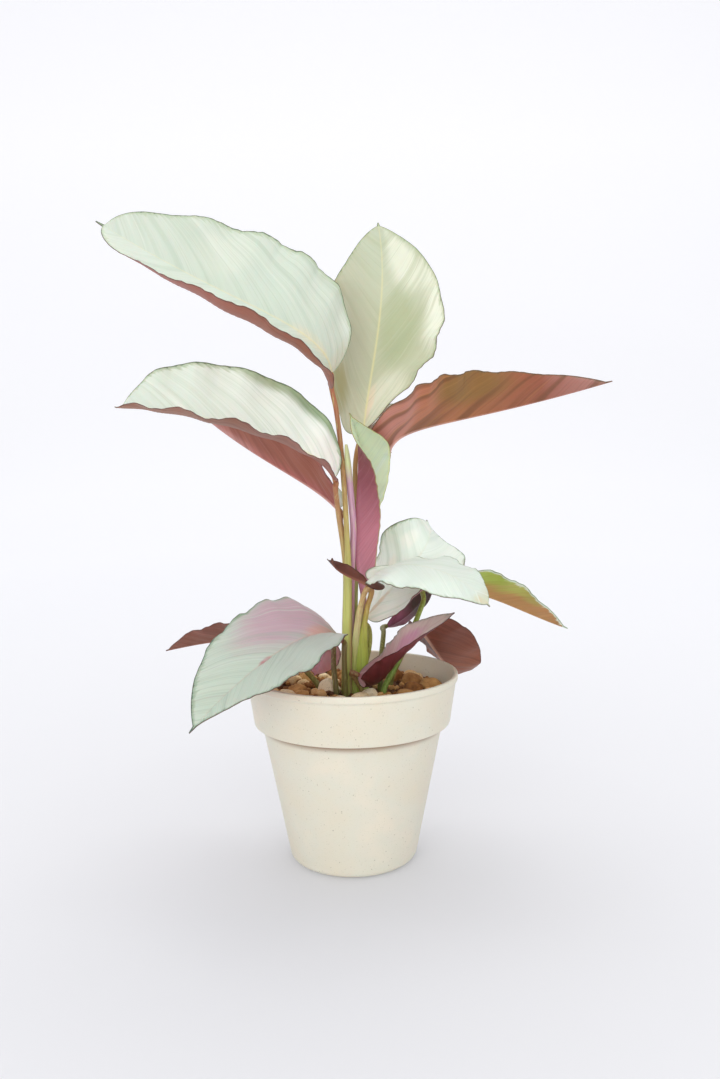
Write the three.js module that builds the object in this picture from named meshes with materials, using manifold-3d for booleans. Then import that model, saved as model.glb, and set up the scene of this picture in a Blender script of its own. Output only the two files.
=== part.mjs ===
// A small silver plate calathea, a prayer plant, in a round tapered nursery pot.
// Millimetres, +Z up. The origin is the middle of the pot's flat base, and the plant's front faces -Y.
import * as THREE from 'three';
import { mergeVertices } from 'three/addons/utils/BufferGeometryUtils.js';
import Module from 'manifold-3d';

// Driving dimensions of the pot
const POT_HEIGHT = 88;
const RIM_RADIUS = 50;
const COLLAR_HEIGHT = 23;
const COLLAR_FOOT_RADIUS = 46.2;
const BODY_TOP_RADIUS = 42.7;
const BASE_RADIUS = 30;
const WALL = 1.7;
const FLOOR = 2.4;
const DRAIN_HOLES = 5;
const DRAIN_RADIUS = 2.5;
const DRAIN_CIRCLE = 18;
const DRAIN_SIDES = 10;
const CUT_PAST = 1;
const POT_SEGMENTS = 44;
const BASE_EDGE = 1.5;
const COLLAR_EDGE = 0.5;
const LEDGE_FOOT = 1;
const LEDGE_TOP = 2.2;
const RIM_EDGE = 0.4;

// Driving dimensions of the potting mix and of the stones on it
const FIT_GAP = 0.45;
const SOIL_TOP = 78;
const HOLE_DEPTH = 12.5;
const HOLE_CLEARANCE = 0.8;
const HOLE_SIDES = 16;
const STONE_COUNT = 50;
const STONE_TRIES = 2600;
const STONE_RADII = [2.6, 5.2];
const STONE_STRETCH = [[0.85, 1.25], [0.75, 1.05], [0.65, 0.95]];
const STONE_CORNERS = [0.85, 1.15];
const STONE_SUNK = [0.1, 0.35];
const STONE_REACH = 1.3;
const STONE_CLOSENESS = 0.85;
const SMALL_STONES = 1.5;
const STONE_SEED = 7;
const CLEAR_HEIGHT = 8;
const ROUTE_SAMPLES = 60;

// The stones that the front shows first, before the others are thrown between them
const FIRST_STONES = [
  { x: -11, y: 0, radius: 5.2 },
  { x: -25.5, y: -2, radius: 4.6 },
  { x: 8, y: -10.5, radius: 3.4 },
  { x: 29, y: -3, radius: 4 },
  { x: 38, y: 5, radius: 4.8 },
  { x: 29.5, y: 14.5, radius: 5.4 },
  { x: 8, y: 16, radius: 4.6 },
];

// Driving dimensions of the leaves and their stalks
const BLADE_THICKNESS = 0.7;
const MIDRIB_DEPTH = 0.6;
const BLADE_END_HALF_WIDTH = 0.8;
const TAIL_HALF_WIDTH = 0.3;
const WAVE_GATHER = 1.5;
const LEAST_CURL = 0.01;
const STALK_RADII = [1.2, 1.35];
const STALK_SIDES = 6;
const STALK_STEP = 8;
const STRAIGHT_BELOW_TOP = 4;
const STRAIGHT_ABOVE_TOP = 2;
const JOIN_GAP = 0.8;
const JOIN_RUN = 1.5;

// The shoot: stalks that rise side by side from one hole, in three staggered rows
const SHOOT_FOOT = new THREE.Vector3(1.1, 0, SOIL_TOP);
const SHOOT_SPACING = 3.2;
const SHOOT_LEAN = 0.02;
const SHOOT_HOLE_RADIUS = 6.8;
const WELD_DISTANCE = 1e-4;

const COLOURS = {
  pot: 0xeae4d4,
  mix: 0xa9845c,
  silver: 0xd3e0d2,
  wine: 0x9a5548,
  pink: 0xb8708f,
  greenStalk: 0xa0b050,
  redStalk: 0xa55f46,
};
const ROUGHNESS = { pot: 0.55, mix: 0.95, blade: 0.45, stalk: 0.5 };

// Every leaf has a midrib, which is a Bezier curve from the base to the tip. Its upper face looks toward
// [azimuth, elevation] at the base and at the tip, where azimuth 0 is the front and 90 is +X. The other
// pairs are for the left and the right half, seen on the upper face with the tip away: the half width,
// the angle at which the half rises from the midrib, how much further it curls up to its margin, the
// outline as [swell, taper], and the waves as [height, number, start in turns].
// The stalk rises from a slot in the shoot, or from a place of its own in the mix, to the blade.
const LEAVES = [
  {
    name: 'upper_left',
    midrib: [[-8, 3, 228], [-9, -17, 247], [-48, -19, 253], [-107, -14, 291]],
    looks: [[17, 37], [28, 44]],
    halfWidths: [37, 37.5],
    rise: [-2, 24],
    curl: [70, -6],
    outline: [[0.55, 0.62], [0.55, 0.45]],
    waves: [[0.8, 6, 0.1], [1.5, 5.5, 0.74]],
    grid: [24, 4],
    tail: 4,
    colour: 'silver',
    stalk: {
      slot: [-1, -1],
      shootTop: 135,
      via: [[-1.7, -2.5, 157], [-2.5, 0.5, 174], [-4, 4, 195], [-6, 4, 212], [-8, 5, 222]],
      colour: 'redStalk',
    },
  },
  {
    name: 'upright',
    midrib: [[7, 9, 202], [11, 30, 235], [21, 18, 265], [16, 36, 305]],
    looks: [[-44, 6], [10, 9]],
    halfWidths: [34.5, 34.5],
    rise: [-11, 2],
    curl: [-24, 22],
    outline: [[0.55, 0.7], [0.55, 0.7]],
    waves: [[1.4, 4, 0.14], [1.4, 5, 0.93]],
    grid: [22, 4],
    tail: 2,
    colour: 'silver',
    stalk: {
      slot: [0, 1],
      shootTop: 120,
      via: [[2.5, 5, 135], [3, 8, 152], [2.8, 10, 171], [3, 10.5, 187], [4.5, 10, 195]],
      colour: 'greenStalk',
    },
  },
  {
    name: 'right',
    midrib: [[19, 12, 191], [22, 11, 206], [51, 38, 204], [128, 26, 225]],
    looks: [[171, 58], [177, 50]],
    halfWidths: [28.5, 30],
    rise: [56, 5],
    curl: [20, 12],
    outline: [[0.6, 0.75], [0.6, 0.75]],
    waves: [[1.4, 6, 0.1], [1.4, 6.5, 0.2]],
    grid: [24, 4],
    tail: 3,
    colour: 'wine',
    stalk: {
      slot: [1, 1],
      shootTop: 112,
      via: [[6, 5, 126], [8, 13.5, 142], [10, 18, 159], [13.5, 18, 173], [17, 15, 184]],
      colour: 'redStalk',
    },
  },
  {
    name: 'middle_left',
    midrib: [[-7, -4, 179], [-14, -16, 198], [-79, -31, 211], [-99, -23, 211]],
    looks: [[22, 50], [22, 55]],
    halfWidths: [28, 28],
    rise: [22, 22],
    curl: [26, 25],
    outline: [[0.6, 0.55], [0.6, 0.55]],
    waves: [[1.3, 6, 0.1], [1.5, 6, 0.11]],
    grid: [24, 4],
    tail: 3,
    colour: 'silver',
    stalk: {
      slot: [-1.5, 0],
      shootTop: 138,
      via: [[-5.5, -1.5, 163.5], [-6.5, -5, 175]],
      colour: 'redStalk',
    },
  },
  {
    name: 'under_left',
    midrib: [[-6, 6, 165], [-18, 14, 178], [-43, 18, 187], [-71, 25, 210]],
    looks: [[187, 59], [185, 55]],
    halfWidths: [21.5, 21.5],
    rise: [10, 45],
    curl: [0, 7],
    outline: [[0.55, 0.7], [0.55, 0.7]],
    waves: [[1, 4, 0.1], [1, 4, 0.6]],
    grid: [16, 3],
    tail: 2,
    colour: 'wine',
    stalk: {
      slot: [-1, 1],
      shootTop: 118,
      via: [[-2.6, 4.5, 146], [-4.5, 5.5, 158.5]],
      colour: 'redStalk',
    },
  },
  {
    name: 'rolled_young',
    midrib: [[5.5, 0.5, 124], [-2, 6, 155], [10, 8, 188], [1, -10, 207]],
    looks: [[112, -41], [105, -62]],
    halfWidths: [12.5, 16.5],
    rise: [47, 64],
    curl: [-15, 0],
    outline: [[0.52, 0.6], [1.2, 0.75]],
    waves: [[0.5, 3, 0.1], [0.5, 3, 0.6]],
    grid: [16, 3],
    tail: 2,
    colour: 'pink',
    stalk: { slot: [0.5, 0], shootTop: 104, via: [[5.2, 0.2, 117]], colour: 'greenStalk' },
  },
  {
    name: 'curled_small',
    midrib: [[7, -12, 131], [0, -17, 135], [-8, -25, 138.5], [-8, -28, 143]],
    looks: [[20, 75], [20, 70]],
    halfWidths: [5, 8],
    rise: [50, 5],
    curl: [10, 15],
    outline: [[0.6, 0.6], [0.6, 0.6]],
    waves: [[0.4, 2, 0.1], [0.4, 2, 0.6]],
    grid: [10, 3],
    tail: 1.5,
    colour: 'silver',
    stalk: { slot: [0, -1], shootTop: 95, via: [[4.5, -6, 119], [6.5, -10, 127]], colour: 'redStalk' },
  },
  {
    name: 'front',
    midrib: [[10, -7, 131], [14, -10, 144], [43, -37, 144], [58, -40, 125]],
    looks: [[34, 55], [29, 57]],
    halfWidths: [22, 21],
    rise: [-5, 5],
    curl: [-8, -22],
    outline: [[0.74, 0.66], [0.62, 0.66]],
    waves: [[1, 4, 0.1], [1, 4, 0.6]],
    grid: [16, 3],
    tail: 1.5,
    colour: 'silver',
    stalk: { slot: [1, -1], shootTop: 98, via: [[7.5, -5, 118.5], [9.5, -6.5, 126]], colour: 'redStalk' },
  },
  {
    name: 'behind_front',
    midrib: [[7, 9, 112], [19, 9, 127], [44, 11, 146], [39, 27, 157]],
    looks: [[45, 90], [67, 70]],
    halfWidths: [24, 26],
    rise: [16, -45],
    curl: [4, 77],
    outline: [[0.55, 0.6], [0.55, 0.6]],
    waves: [[1.1, 3.5, 0.1], [1.4, 3, 0.09]],
    grid: [16, 4],
    tail: 1.5,
    colour: 'silver',
    stalk: {
      slot: [1.5, 0],
      shootTop: 90,
      via: [[8, 1, 97.5], [8.8, 4.5, 103], [8.2, 7.5, 107.5]],
      colour: 'greenStalk',
    },
  },
  {
    name: 'low_right',
    midrib: [[38, 20, 124], [62, 20, 127], [80, 20, 114], [103, 9, 106]],
    looks: [[171, 54], [171, 54]],
    halfWidths: [17.5, 17.5],
    rise: [40, 12],
    curl: [10, 0],
    outline: [[0.55, 0.7], [0.55, 0.7]],
    waves: [[0.9, 4, 0.1], [0.9, 4, 0.6]],
    grid: [16, 3],
    tail: 2,
    colour: 'wine',
    stalk: {
      foot: [15, -5],
      via: [[20, -1, 89], [24.5, 3, 96], [28.5, 7, 104], [33, 11, 113.5], [35.5, 14, 119.5]],
      colour: 'greenStalk',
    },
  },
  {
    name: 'plum',
    midrib: [[3, -11.5, 88.5], [20, -10, 80], [14, -27, 103], [44, -29, 119]],
    looks: [[2, 54], [2, 73]],
    halfWidths: [17, 17],
    rise: [4, -5],
    curl: [17, 100],
    outline: [[0.55, 0.75], [0.55, 0.75]],
    waves: [[0.8, 3, 0.1], [0.8, 3, 0.6]],
    grid: [16, 4],
    tail: 1.5,
    colour: 'pink',
    stalk: { foot: [5, -9.5], via: [[2.8, -9.8, 84.5], [-0.4, -11.3, 90]], colour: 'greenStalk' },
  },
  {
    name: 'rim',
    midrib: [[32, 14, 106.5], [38, 20, 100.5], [51, 24, 75], [58, 43, 77]],
    looks: [[160, 39], [154, 35]],
    halfWidths: [19.5, 20.5],
    rise: [41, 22],
    curl: [0, 0],
    outline: [[0.55, 0.65], [0.55, 0.65]],
    waves: [[0.9, 4, 0.1], [0.9, 4, 0.6]],
    grid: [16, 3],
    tail: 1.5,
    colour: 'wine',
    stalk: { foot: [19, 12], via: [[24, 14, 91], [28.5, 14.5, 99.5]], colour: 'redStalk' },
  },
  {
    name: 'dark_back',
    midrib: [[18, 25, 105], [28, 28, 108], [34, 33, 114], [41, 29, 124]],
    looks: [[181, 38], [180, 37]],
    halfWidths: [7, 7],
    rise: [13, 6],
    curl: [11, 3],
    outline: [[0.55, 0.7], [0.55, 0.7]],
    waves: [[0.4, 2, 0.1], [0.4, 2, 0.6]],
    grid: [10, 3],
    tail: 1.5,
    colour: 'wine',
    stalk: { foot: [13.5, 1], via: [[14.5, 9, 93.5], [16, 20, 103]], colour: 'greenStalk' },
  },
  {
    name: 'lower_left',
    midrib: [[-4, -9, 104], [-13, -27, 121], [-45, -30, 97], [-64, -60, 79]],
    looks: [[-21, 57], [-20, 35]],
    halfWidths: [32, 33.5],
    rise: [27, 19],
    curl: [0, -38],
    outline: [[1.4, 1.25], [0.62, 0.9]],
    waves: [[1, 5, 0.1], [0.8, 6.5, 0.7]],
    grid: [22, 4],
    tail: 3,
    colour: 'silver',
    stalk: { foot: [-3, -9], via: [[-3.3, -8.2, 91], [-3.4, -8, 99]], colour: 'redStalk' },
  },
  {
    name: 'lower_back',
    midrib: [[-27, 18, 94], [-49, 19, 104], [-71, 30, 98], [-92, 26, 94]],
    looks: [[180, 60], [179, 57]],
    halfWidths: [15.5, 15.5],
    rise: [10, 39],
    curl: [0, 10],
    outline: [[0.55, 0.7], [0.55, 0.7]],
    waves: [[0.8, 4, 0.1], [0.8, 4, 0.6]],
    grid: [16, 3],
    tail: 1.5,
    colour: 'wine',
    stalk: { foot: [-16, 3], via: [[-19, 4, 84], [-23, 8, 87.5], [-25, 14, 90.5]], colour: 'greenStalk' },
  },
  {
    name: 'small_pink',
    midrib: [[-11, 9, 101], [-13, 10, 95], [-16, 11, 89], [-18, 12, 84]],
    looks: [[180, 12], [180, 12]],
    halfWidths: [10, 9],
    rise: [10, 10],
    curl: [5, 5],
    outline: [[0.55, 0.7], [0.55, 0.7]],
    waves: [[0.4, 2, 0.1], [0.4, 2, 0.6]],
    grid: [10, 3],
    tail: 1,
    colour: 'pink',
    stalk: {
      foot: [-7.5, -5],
      via: [[-8.5, -2, 90], [-8.6, 4, 99.5], [-9.4, 7.2, 103.5]],
      colour: 'greenStalk',
    },
  },
];

// The newest leaf is still rolled tight. It is one blunt spear from the mix to its tip.
const SPEAR = {
  slot: [-0.5, 0],
  shootTop: 135,
  via: [[1.5, 1, 155], [0.7, 2, 169], [-0.4, 2.4, 183]],
  tip: [-1.4, 2.5, 195],
  radii: [1.4, 1.35],
};

// One seeded draw, so that the stones always lie the same way. Each state is the last one times a
// fixed factor plus a fixed step, cut to 32 bits.
function seededDraw(seed) {
  let state = seed;
  return () => {
    state = (state * 1664525 + 1013904223) % 4294967296;
    return state / 4294967296;
  };
}

const toVectors = (points) => points.map((point) => new THREE.Vector3(...point));

// The direction that an [azimuth, elevation] pair in degrees looks toward
function lookDirection([azimuth, elevation]) {
  const turn = THREE.MathUtils.degToRad(azimuth);
  const lift = THREE.MathUtils.degToRad(elevation);
  return new THREE.Vector3(
    Math.cos(lift) * Math.sin(turn),
    -Math.cos(lift) * Math.cos(turn),
    Math.sin(lift),
  );
}

// A half's outline is s^swell * (1 - s)^taper along the blade, scaled to be 1 where the half is widest
function outlineWidth(along, [swell, taper]) {
  const widest = swell / (swell + taper);
  const peak = widest ** swell * (1 - widest) ** taper;
  return (along ** swell * (1 - along) ** taper) / peak;
}

// The midrib's place and the leaf's axes: forward to the tip, face out of the upper side, right across
function midribFrame(leaf, along) {
  const curve = new THREE.CubicBezierCurve3(...toVectors(leaf.midrib));
  const forward = curve.getTangent(along);
  const [baseLook, tipLook] = leaf.looks.map(lookDirection);
  const face = baseLook.lerp(tipLook, along);
  face.addScaledVector(forward, -face.dot(forward)).normalize();
  const right = forward.clone().cross(face);
  return { place: curve.getPoint(along), forward, face, right };
}

// A point of the blade's middle surface; across runs from -1 at the left margin to 1 at the right one
function bladePoint(leaf, frame, along, across) {
  const side = across < 0 ? 0 : 1;
  const swelling = outlineWidth(along, leaf.outline[side]);
  const halfWidth = Math.hypot(leaf.halfWidths[side] * swelling, BLADE_END_HALF_WIDTH);
  const reach = Math.abs(across) * halfWidth;
  const rise = THREE.MathUtils.degToRad(leaf.rise[side]);
  const bend = THREE.MathUtils.degToRad(leaf.curl[side] || LEAST_CURL) / leaf.halfWidths[side];
  const slope = rise + bend * reach;
  const [waveHeight, waveCount, waveStart] = leaf.waves[side];
  const wave = waveHeight * swelling * Math.abs(across) ** WAVE_GATHER
    * Math.sin(2 * Math.PI * (waveCount * along + waveStart));
  const out = (Math.sin(slope) - Math.sin(rise)) / bend - Math.sin(slope) * wave;
  const up = (Math.cos(rise) - Math.cos(slope)) / bend + Math.cos(slope) * wave;
  return frame.place.clone()
    .addScaledVector(frame.right, Math.sign(across) * out)
    .addScaledVector(frame.face, up);
}

// Rows lie closer together near the base and the tip, where the outline turns fastest
function rowPlaces(rows) {
  return Array.from({ length: rows + 1 }, (_, row) => {
    const even = row / rows;
    const eased = (1 - Math.cos(Math.PI * even)) / 2;
    return (even + eased) / 2;
  });
}

// The middle surface as rows of points, with a last narrow row at the end of the drip tail
function bladeRows(leaf) {
  const [rowCount, columnsPerHalf] = leaf.grid;
  const columns = Array.from({ length: 2 * columnsPerHalf + 1 }, (_, column) => column / columnsPerHalf - 1);
  const rows = rowPlaces(rowCount).map((along) => {
    const frame = midribFrame(leaf, along);
    return columns.map((across) => bladePoint(leaf, frame, along, across));
  });
  const end = midribFrame(leaf, 1);
  const tailEnd = end.place.clone().addScaledVector(end.forward, leaf.tail);
  rows.push(columns.map((across) => tailEnd.clone().addScaledVector(end.right, across * TAIL_HALF_WIDTH)));
  return rows;
}

// The upward normal at each point of the rows, from its neighbours
function rowNormals(rows) {
  const lastRow = rows.length - 1;
  const lastColumn = rows[0].length - 1;
  return rows.map((points, row) => points.map((_, column) => {
    const ahead = rows[Math.min(row + 1, lastRow)][column];
    const behind = rows[Math.max(row - 1, 0)][column];
    const right = points[Math.min(column + 1, lastColumn)];
    const left = points[Math.max(column - 1, 0)];
    return right.clone().sub(left).cross(ahead.clone().sub(behind)).normalize();
  }));
}

// A thin closed solid: both faces use the same grid and the same diagonals, thicker along the midrib
function bladeGeometry(leaf) {
  const rows = bladeRows(leaf);
  const normals = rowNormals(rows);
  const width = rows[0].length;
  const middle = (width - 1) / 2;
  const faceSize = rows.length * width;
  const positions = [];
  for (const side of [1, -1]) {
    rows.forEach((points, row) => points.forEach((point, column) => {
      const along = Math.min(row / (rows.length - 2), 1);
      const rib = side < 0 && column === middle ? MIDRIB_DEPTH * (1 - along) : 0;
      const lift = side * (BLADE_THICKNESS / 2 + rib);
      positions.push(...point.clone().addScaledVector(normals[row][column], lift).toArray());
    }));
  }
  const upper = (row, column) => row * width + column;
  const lower = (row, column) => faceSize + row * width + column;
  const index = [];
  const quad = (a, b, c, d) => index.push(a, b, c, a, c, d);
  for (let row = 0; row < rows.length - 1; row += 1) {
    for (let column = 0; column < width - 1; column += 1) {
      const corners = [[row, column], [row, column + 1], [row + 1, column + 1], [row + 1, column]];
      const [a, b, c, d] = corners.map((corner) => upper(...corner));
      const [e, f, g, h] = corners.map((corner) => lower(...corner));
      quad(a, b, c, d);
      index.push(e, g, f, e, h, g);
    }
    quad(upper(row, 0), upper(row + 1, 0), lower(row + 1, 0), lower(row, 0));
    quad(upper(row + 1, width - 1), upper(row, width - 1), lower(row, width - 1), lower(row + 1, width - 1));
  }
  const last = rows.length - 1;
  for (let column = 0; column < width - 1; column += 1) {
    quad(upper(0, column + 1), upper(0, column), lower(0, column), lower(0, column + 1));
    quad(upper(last, column), upper(last, column + 1), lower(last, column + 1), lower(last, column));
  }
  const geometry = new THREE.BufferGeometry();
  geometry.setAttribute('position', new THREE.Float32BufferAttribute(positions, 3));
  geometry.setIndex(index);
  return geometry;
}

// Where a slot of the shoot is at a height
function shootPoint([column, row], height) {
  const lean = SHOOT_LEAN * Math.max(height - SOIL_TOP, 0);
  return new THREE.Vector3(
    SHOOT_FOOT.x + lean + column * SHOOT_SPACING,
    SHOOT_FOOT.y + row * SHOOT_SPACING * Math.sqrt(0.75),
    height,
  );
}

// The stalk's route: upright in its hole in the mix, then up to the blade, which it meets end on
function stalkRoute({ slot, shootTop, foot, via }, ends) {
  const holeBottom = SOIL_TOP - HOLE_DEPTH + FIT_GAP;
  const inHole = [holeBottom, SOIL_TOP - STRAIGHT_BELOW_TOP, SOIL_TOP + STRAIGHT_ABOVE_TOP];
  const upright = slot
    ? [...inHole, (SOIL_TOP + shootTop) / 2, shootTop].map((height) => shootPoint(slot, height))
    : inHole.map((height) => new THREE.Vector3(...foot, height));
  return new THREE.CatmullRomCurve3([...upright, ...toVectors(via), ...ends]);
}

// The last two points of a stalk lie in line with the start of the midrib
function stalkEnds(leaf) {
  const { place, forward } = midribFrame(leaf, 0);
  return [JOIN_GAP + JOIN_RUN, JOIN_GAP].map((back) => place.clone().addScaledVector(forward, -back));
}

// A straight round bar, one unit long, is bent along the route and tapered from its foot to its top
function stalkGeometry(route, [topRadius, footRadius]) {
  const steps = Math.max(4, Math.round(route.getLength() / STALK_STEP));
  const circle = new THREE.Shape();
  circle.absarc(0, 0, 1, 0, 2 * Math.PI);
  const bar = new THREE.ExtrudeGeometry(circle, {
    depth: 1, steps, bevelEnabled: false, curveSegments: STALK_SIDES / 2,
  });
  const frames = route.computeFrenetFrames(steps);
  const position = bar.getAttribute('position');
  for (let vertex = 0; vertex < position.count; vertex += 1) {
    const step = Math.round(position.getZ(vertex) * steps);
    const radius = THREE.MathUtils.lerp(footRadius, topRadius, step / steps);
    const moved = route.getPointAt(step / steps)
      .addScaledVector(frames.normals[step], radius * position.getX(vertex))
      .addScaledVector(frames.binormals[step], radius * position.getY(vertex));
    position.setXYZ(vertex, moved.x, moved.y, moved.z);
  }
  return asClosedMesh(bar);
}

// Only positions are left, and vertices that lie together are one
function asClosedMesh(geometry) {
  geometry.deleteAttribute('normal');
  geometry.deleteAttribute('uv');
  return mergeVertices(geometry, WELD_DISTANCE);
}

const manifold = await Module();
manifold.setup();

function toSolid(geometry) {
  const closed = asClosedMesh(geometry);
  return new manifold.Manifold(new manifold.Mesh({
    numProp: 3,
    vertProperties: new Float32Array(closed.getAttribute('position').array),
    triVerts: new Uint32Array(closed.getIndex().array),
  }));
}

function toGeometry(solid) {
  const mesh = solid.getMesh();
  const geometry = new THREE.BufferGeometry();
  geometry.setAttribute('position', new THREE.Float32BufferAttribute(mesh.vertProperties, 3));
  geometry.setIndex(Array.from(mesh.triVerts));
  return geometry;
}

function uprightCylinder(radius, bottom, top, [x, y], sides) {
  return new THREE.CylinderGeometry(radius, radius, top - bottom, sides)
    .rotateX(Math.PI / 2)
    .translate(x, y, (top + bottom) / 2);
}

// A lathe turns about Y, so the turned shape is stood up along Z
function turned(profile, segments) {
  const points = profile.map(([radius, height]) => new THREE.Vector2(radius, height));
  return new THREE.LatheGeometry(points, segments).rotateX(Math.PI / 2);
}

// The inside of the pot: floor, tapered body, a ledge where the collar begins, and the collar's own taper
const collarFoot = POT_HEIGHT - COLLAR_HEIGHT;
const innerProfile = [
  [BASE_RADIUS - WALL, FLOOR],
  [BODY_TOP_RADIUS - WALL, collarFoot + LEDGE_FOOT],
  [COLLAR_FOOT_RADIUS - WALL, collarFoot + LEDGE_TOP],
  [RIM_RADIUS - WALL, POT_HEIGHT - 2 * RIM_EDGE],
];

function potGeometry() {
  const profile = [
    [0, 0],
    [BASE_RADIUS - BASE_EDGE, 0],
    [BASE_RADIUS, BASE_EDGE],
    [BODY_TOP_RADIUS, collarFoot],
    [COLLAR_FOOT_RADIUS - COLLAR_EDGE, collarFoot],
    [COLLAR_FOOT_RADIUS, collarFoot + COLLAR_EDGE],
    [RIM_RADIUS, POT_HEIGHT - 2 * RIM_EDGE],
    [RIM_RADIUS - RIM_EDGE, POT_HEIGHT],
    [RIM_RADIUS - WALL + RIM_EDGE, POT_HEIGHT],
    ...innerProfile.toReversed(),
    [0, FLOOR],
  ];
  let pot = toSolid(turned(profile, POT_SEGMENTS));
  for (let hole = 0; hole < DRAIN_HOLES; hole += 1) {
    const angle = (2 * Math.PI * hole) / DRAIN_HOLES;
    const place = [DRAIN_CIRCLE * Math.cos(angle), DRAIN_CIRCLE * Math.sin(angle)];
    const cutter = uprightCylinder(DRAIN_RADIUS, -CUT_PAST, FLOOR + CUT_PAST, place, DRAIN_SIDES);
    pot = pot.subtract(toSolid(cutter));
  }
  return toGeometry(pot);
}

// The widest that the mix may be at a height, a gap inside the pot's wall
function innerRadius(height) {
  const above = innerProfile.findIndex(([, level]) => level >= height);
  const [lowRadius, low] = innerProfile[above - 1];
  const [highRadius, high] = innerProfile[above];
  return THREE.MathUtils.mapLinear(height, low, high, lowRadius, highRadius);
}

// A broken stone: a body of twenty faces with its corners pulled in and out
function stoneGeometry(place, radius, draw) {
  const stone = asClosedMesh(new THREE.IcosahedronGeometry(1, 0));
  const position = stone.getAttribute('position');
  const stretch = STONE_STRETCH.map(([least, most]) => THREE.MathUtils.lerp(least, most, draw()));
  for (let vertex = 0; vertex < position.count; vertex += 1) {
    const reach = radius * THREE.MathUtils.lerp(...STONE_CORNERS, draw());
    position.setXYZ(
      vertex,
      position.getX(vertex) * stretch[0] * reach,
      position.getY(vertex) * stretch[1] * reach,
      position.getZ(vertex) * stretch[2] * reach,
    );
  }
  return stone.rotateZ(2 * Math.PI * draw()).translate(...place);
}

// Stones are thrown on the mix one after another, small ones most often, and each stays if it meets
// no other stone, stalk, wall or leaf
function stonePlaces(keepClear) {
  const draw = seededDraw(STONE_SEED);
  const stones = [...FIRST_STONES];
  for (let tries = 0; tries < STONE_TRIES && stones.length < STONE_COUNT; tries += 1) {
    const radius = THREE.MathUtils.lerp(...STONE_RADII, draw() ** SMALL_STONES);
    const reach = STONE_REACH * radius;
    const angle = 2 * Math.PI * draw();
    const distance = (innerRadius(SOIL_TOP) - FIT_GAP - reach) * Math.sqrt(draw());
    const x = distance * Math.cos(angle);
    const y = distance * Math.sin(angle);
    const away = (round) => Math.hypot(x - round.x, y - round.y);
    const meetsStone = stones.some((stone) => away(stone) < STONE_CLOSENESS * (radius + stone.radius));
    const meetsStalk = keepClear.some((round) => away(round) < round.radius + reach);
    if (!meetsStone && !meetsStalk) {
      stones.push({ x, y, radius });
    }
  }
  return { stones, draw };
}

function mixGeometry(routes) {
  const holes = stalkHoles();
  const keepClear = [...holes, ...routes.flatMap(lowPoints)];
  const profile = [
    [0, FLOOR + FIT_GAP],
    [innerRadius(FLOOR + FIT_GAP) - FIT_GAP, FLOOR + FIT_GAP],
    ...innerProfile.slice(1, 3).map(([radius, height]) => [radius - FIT_GAP, height + FIT_GAP / 2]),
    [innerRadius(SOIL_TOP) - FIT_GAP, SOIL_TOP],
    [0, SOIL_TOP],
  ];
  let mix = toSolid(turned(profile, POT_SEGMENTS));
  const { stones, draw } = stonePlaces(keepClear);
  for (const { x, y, radius } of stones) {
    const height = SOIL_TOP + radius * THREE.MathUtils.lerp(...STONE_SUNK, draw());
    mix = mix.add(toSolid(stoneGeometry([x, y, height], radius, draw)));
  }
  for (const { x, y, radius } of holes) {
    const [bottom, top] = [SOIL_TOP - HOLE_DEPTH, SOIL_TOP + CLEAR_HEIGHT];
    const cutter = uprightCylinder(radius, bottom, top, [x, y], HOLE_SIDES);
    mix = mix.subtract(toSolid(cutter));
  }
  return toGeometry(mix);
}

// Each stalk has a plain hole of its own in the mix, and the shoot's stalks share one
function stalkHoles() {
  const single = LEAVES.filter((leaf) => leaf.stalk.foot).map((leaf) => ({
    x: leaf.stalk.foot[0],
    y: leaf.stalk.foot[1],
    radius: STALK_RADII[1] + HOLE_CLEARANCE,
  }));
  return [{ x: SHOOT_FOOT.x, y: SHOOT_FOOT.y, radius: SHOOT_HOLE_RADIUS }, ...single];
}

// Where a stalk is close above the mix, so that no stone is laid there
function lowPoints(route) {
  return route.getSpacedPoints(ROUTE_SAMPLES)
    .filter((point) => point.z > SOIL_TOP && point.z < SOIL_TOP + CLEAR_HEIGHT)
    .map(({ x, y }) => ({ x, y, radius: STALK_RADII[1] }));
}

function namedMesh(name, geometry, colour, roughness) {
  geometry.computeVertexNormals();
  const material = new THREE.MeshStandardMaterial({ color: COLOURS[colour], roughness, metalness: 0 });
  material.flatShading = true;
  const mesh = new THREE.Mesh(geometry, material);
  mesh.name = name;
  return mesh;
}

const routes = new Map(LEAVES.map((leaf) => [leaf.name, stalkRoute(leaf.stalk, stalkEnds(leaf))]));
const spearRoute = stalkRoute(SPEAR, [new THREE.Vector3(...SPEAR.tip)]);

const pottedPlant = new THREE.Group();
pottedPlant.add(namedMesh('pot', potGeometry(), 'pot', ROUGHNESS.pot));
pottedPlant.add(namedMesh('potting_mix', mixGeometry([...routes.values()]), 'mix', ROUGHNESS.mix));
for (const leaf of LEAVES) {
  const stalk = stalkGeometry(routes.get(leaf.name), STALK_RADII);
  pottedPlant.add(namedMesh(`blade_${leaf.name}`, bladeGeometry(leaf), leaf.colour, ROUGHNESS.blade));
  pottedPlant.add(namedMesh(`stalk_${leaf.name}`, stalk, leaf.stalk.colour, ROUGHNESS.stalk));
}
pottedPlant.add(namedMesh(
  'new_leaf_spear',
  stalkGeometry(spearRoute, SPEAR.radii),
  'pink',
  ROUGHNESS.stalk,
));

export default pottedPlant;
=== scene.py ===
# %% [markdown]
# # A silver plate calathea in its nursery pot
#
# This notebook dresses a small potted prayer plant. The solid model already holds every piece at its real
# size: the pot, the potting mix, sixteen leaf blades with their stalks, and one rolled new leaf. Here each
# of them gets a finer surface of the same form, and a finish that is built from nodes alone.
# Lengths are in millimetres in the tables and become metres where a mesh is made.

# %% Load the solid model as the frame
import math

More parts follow.
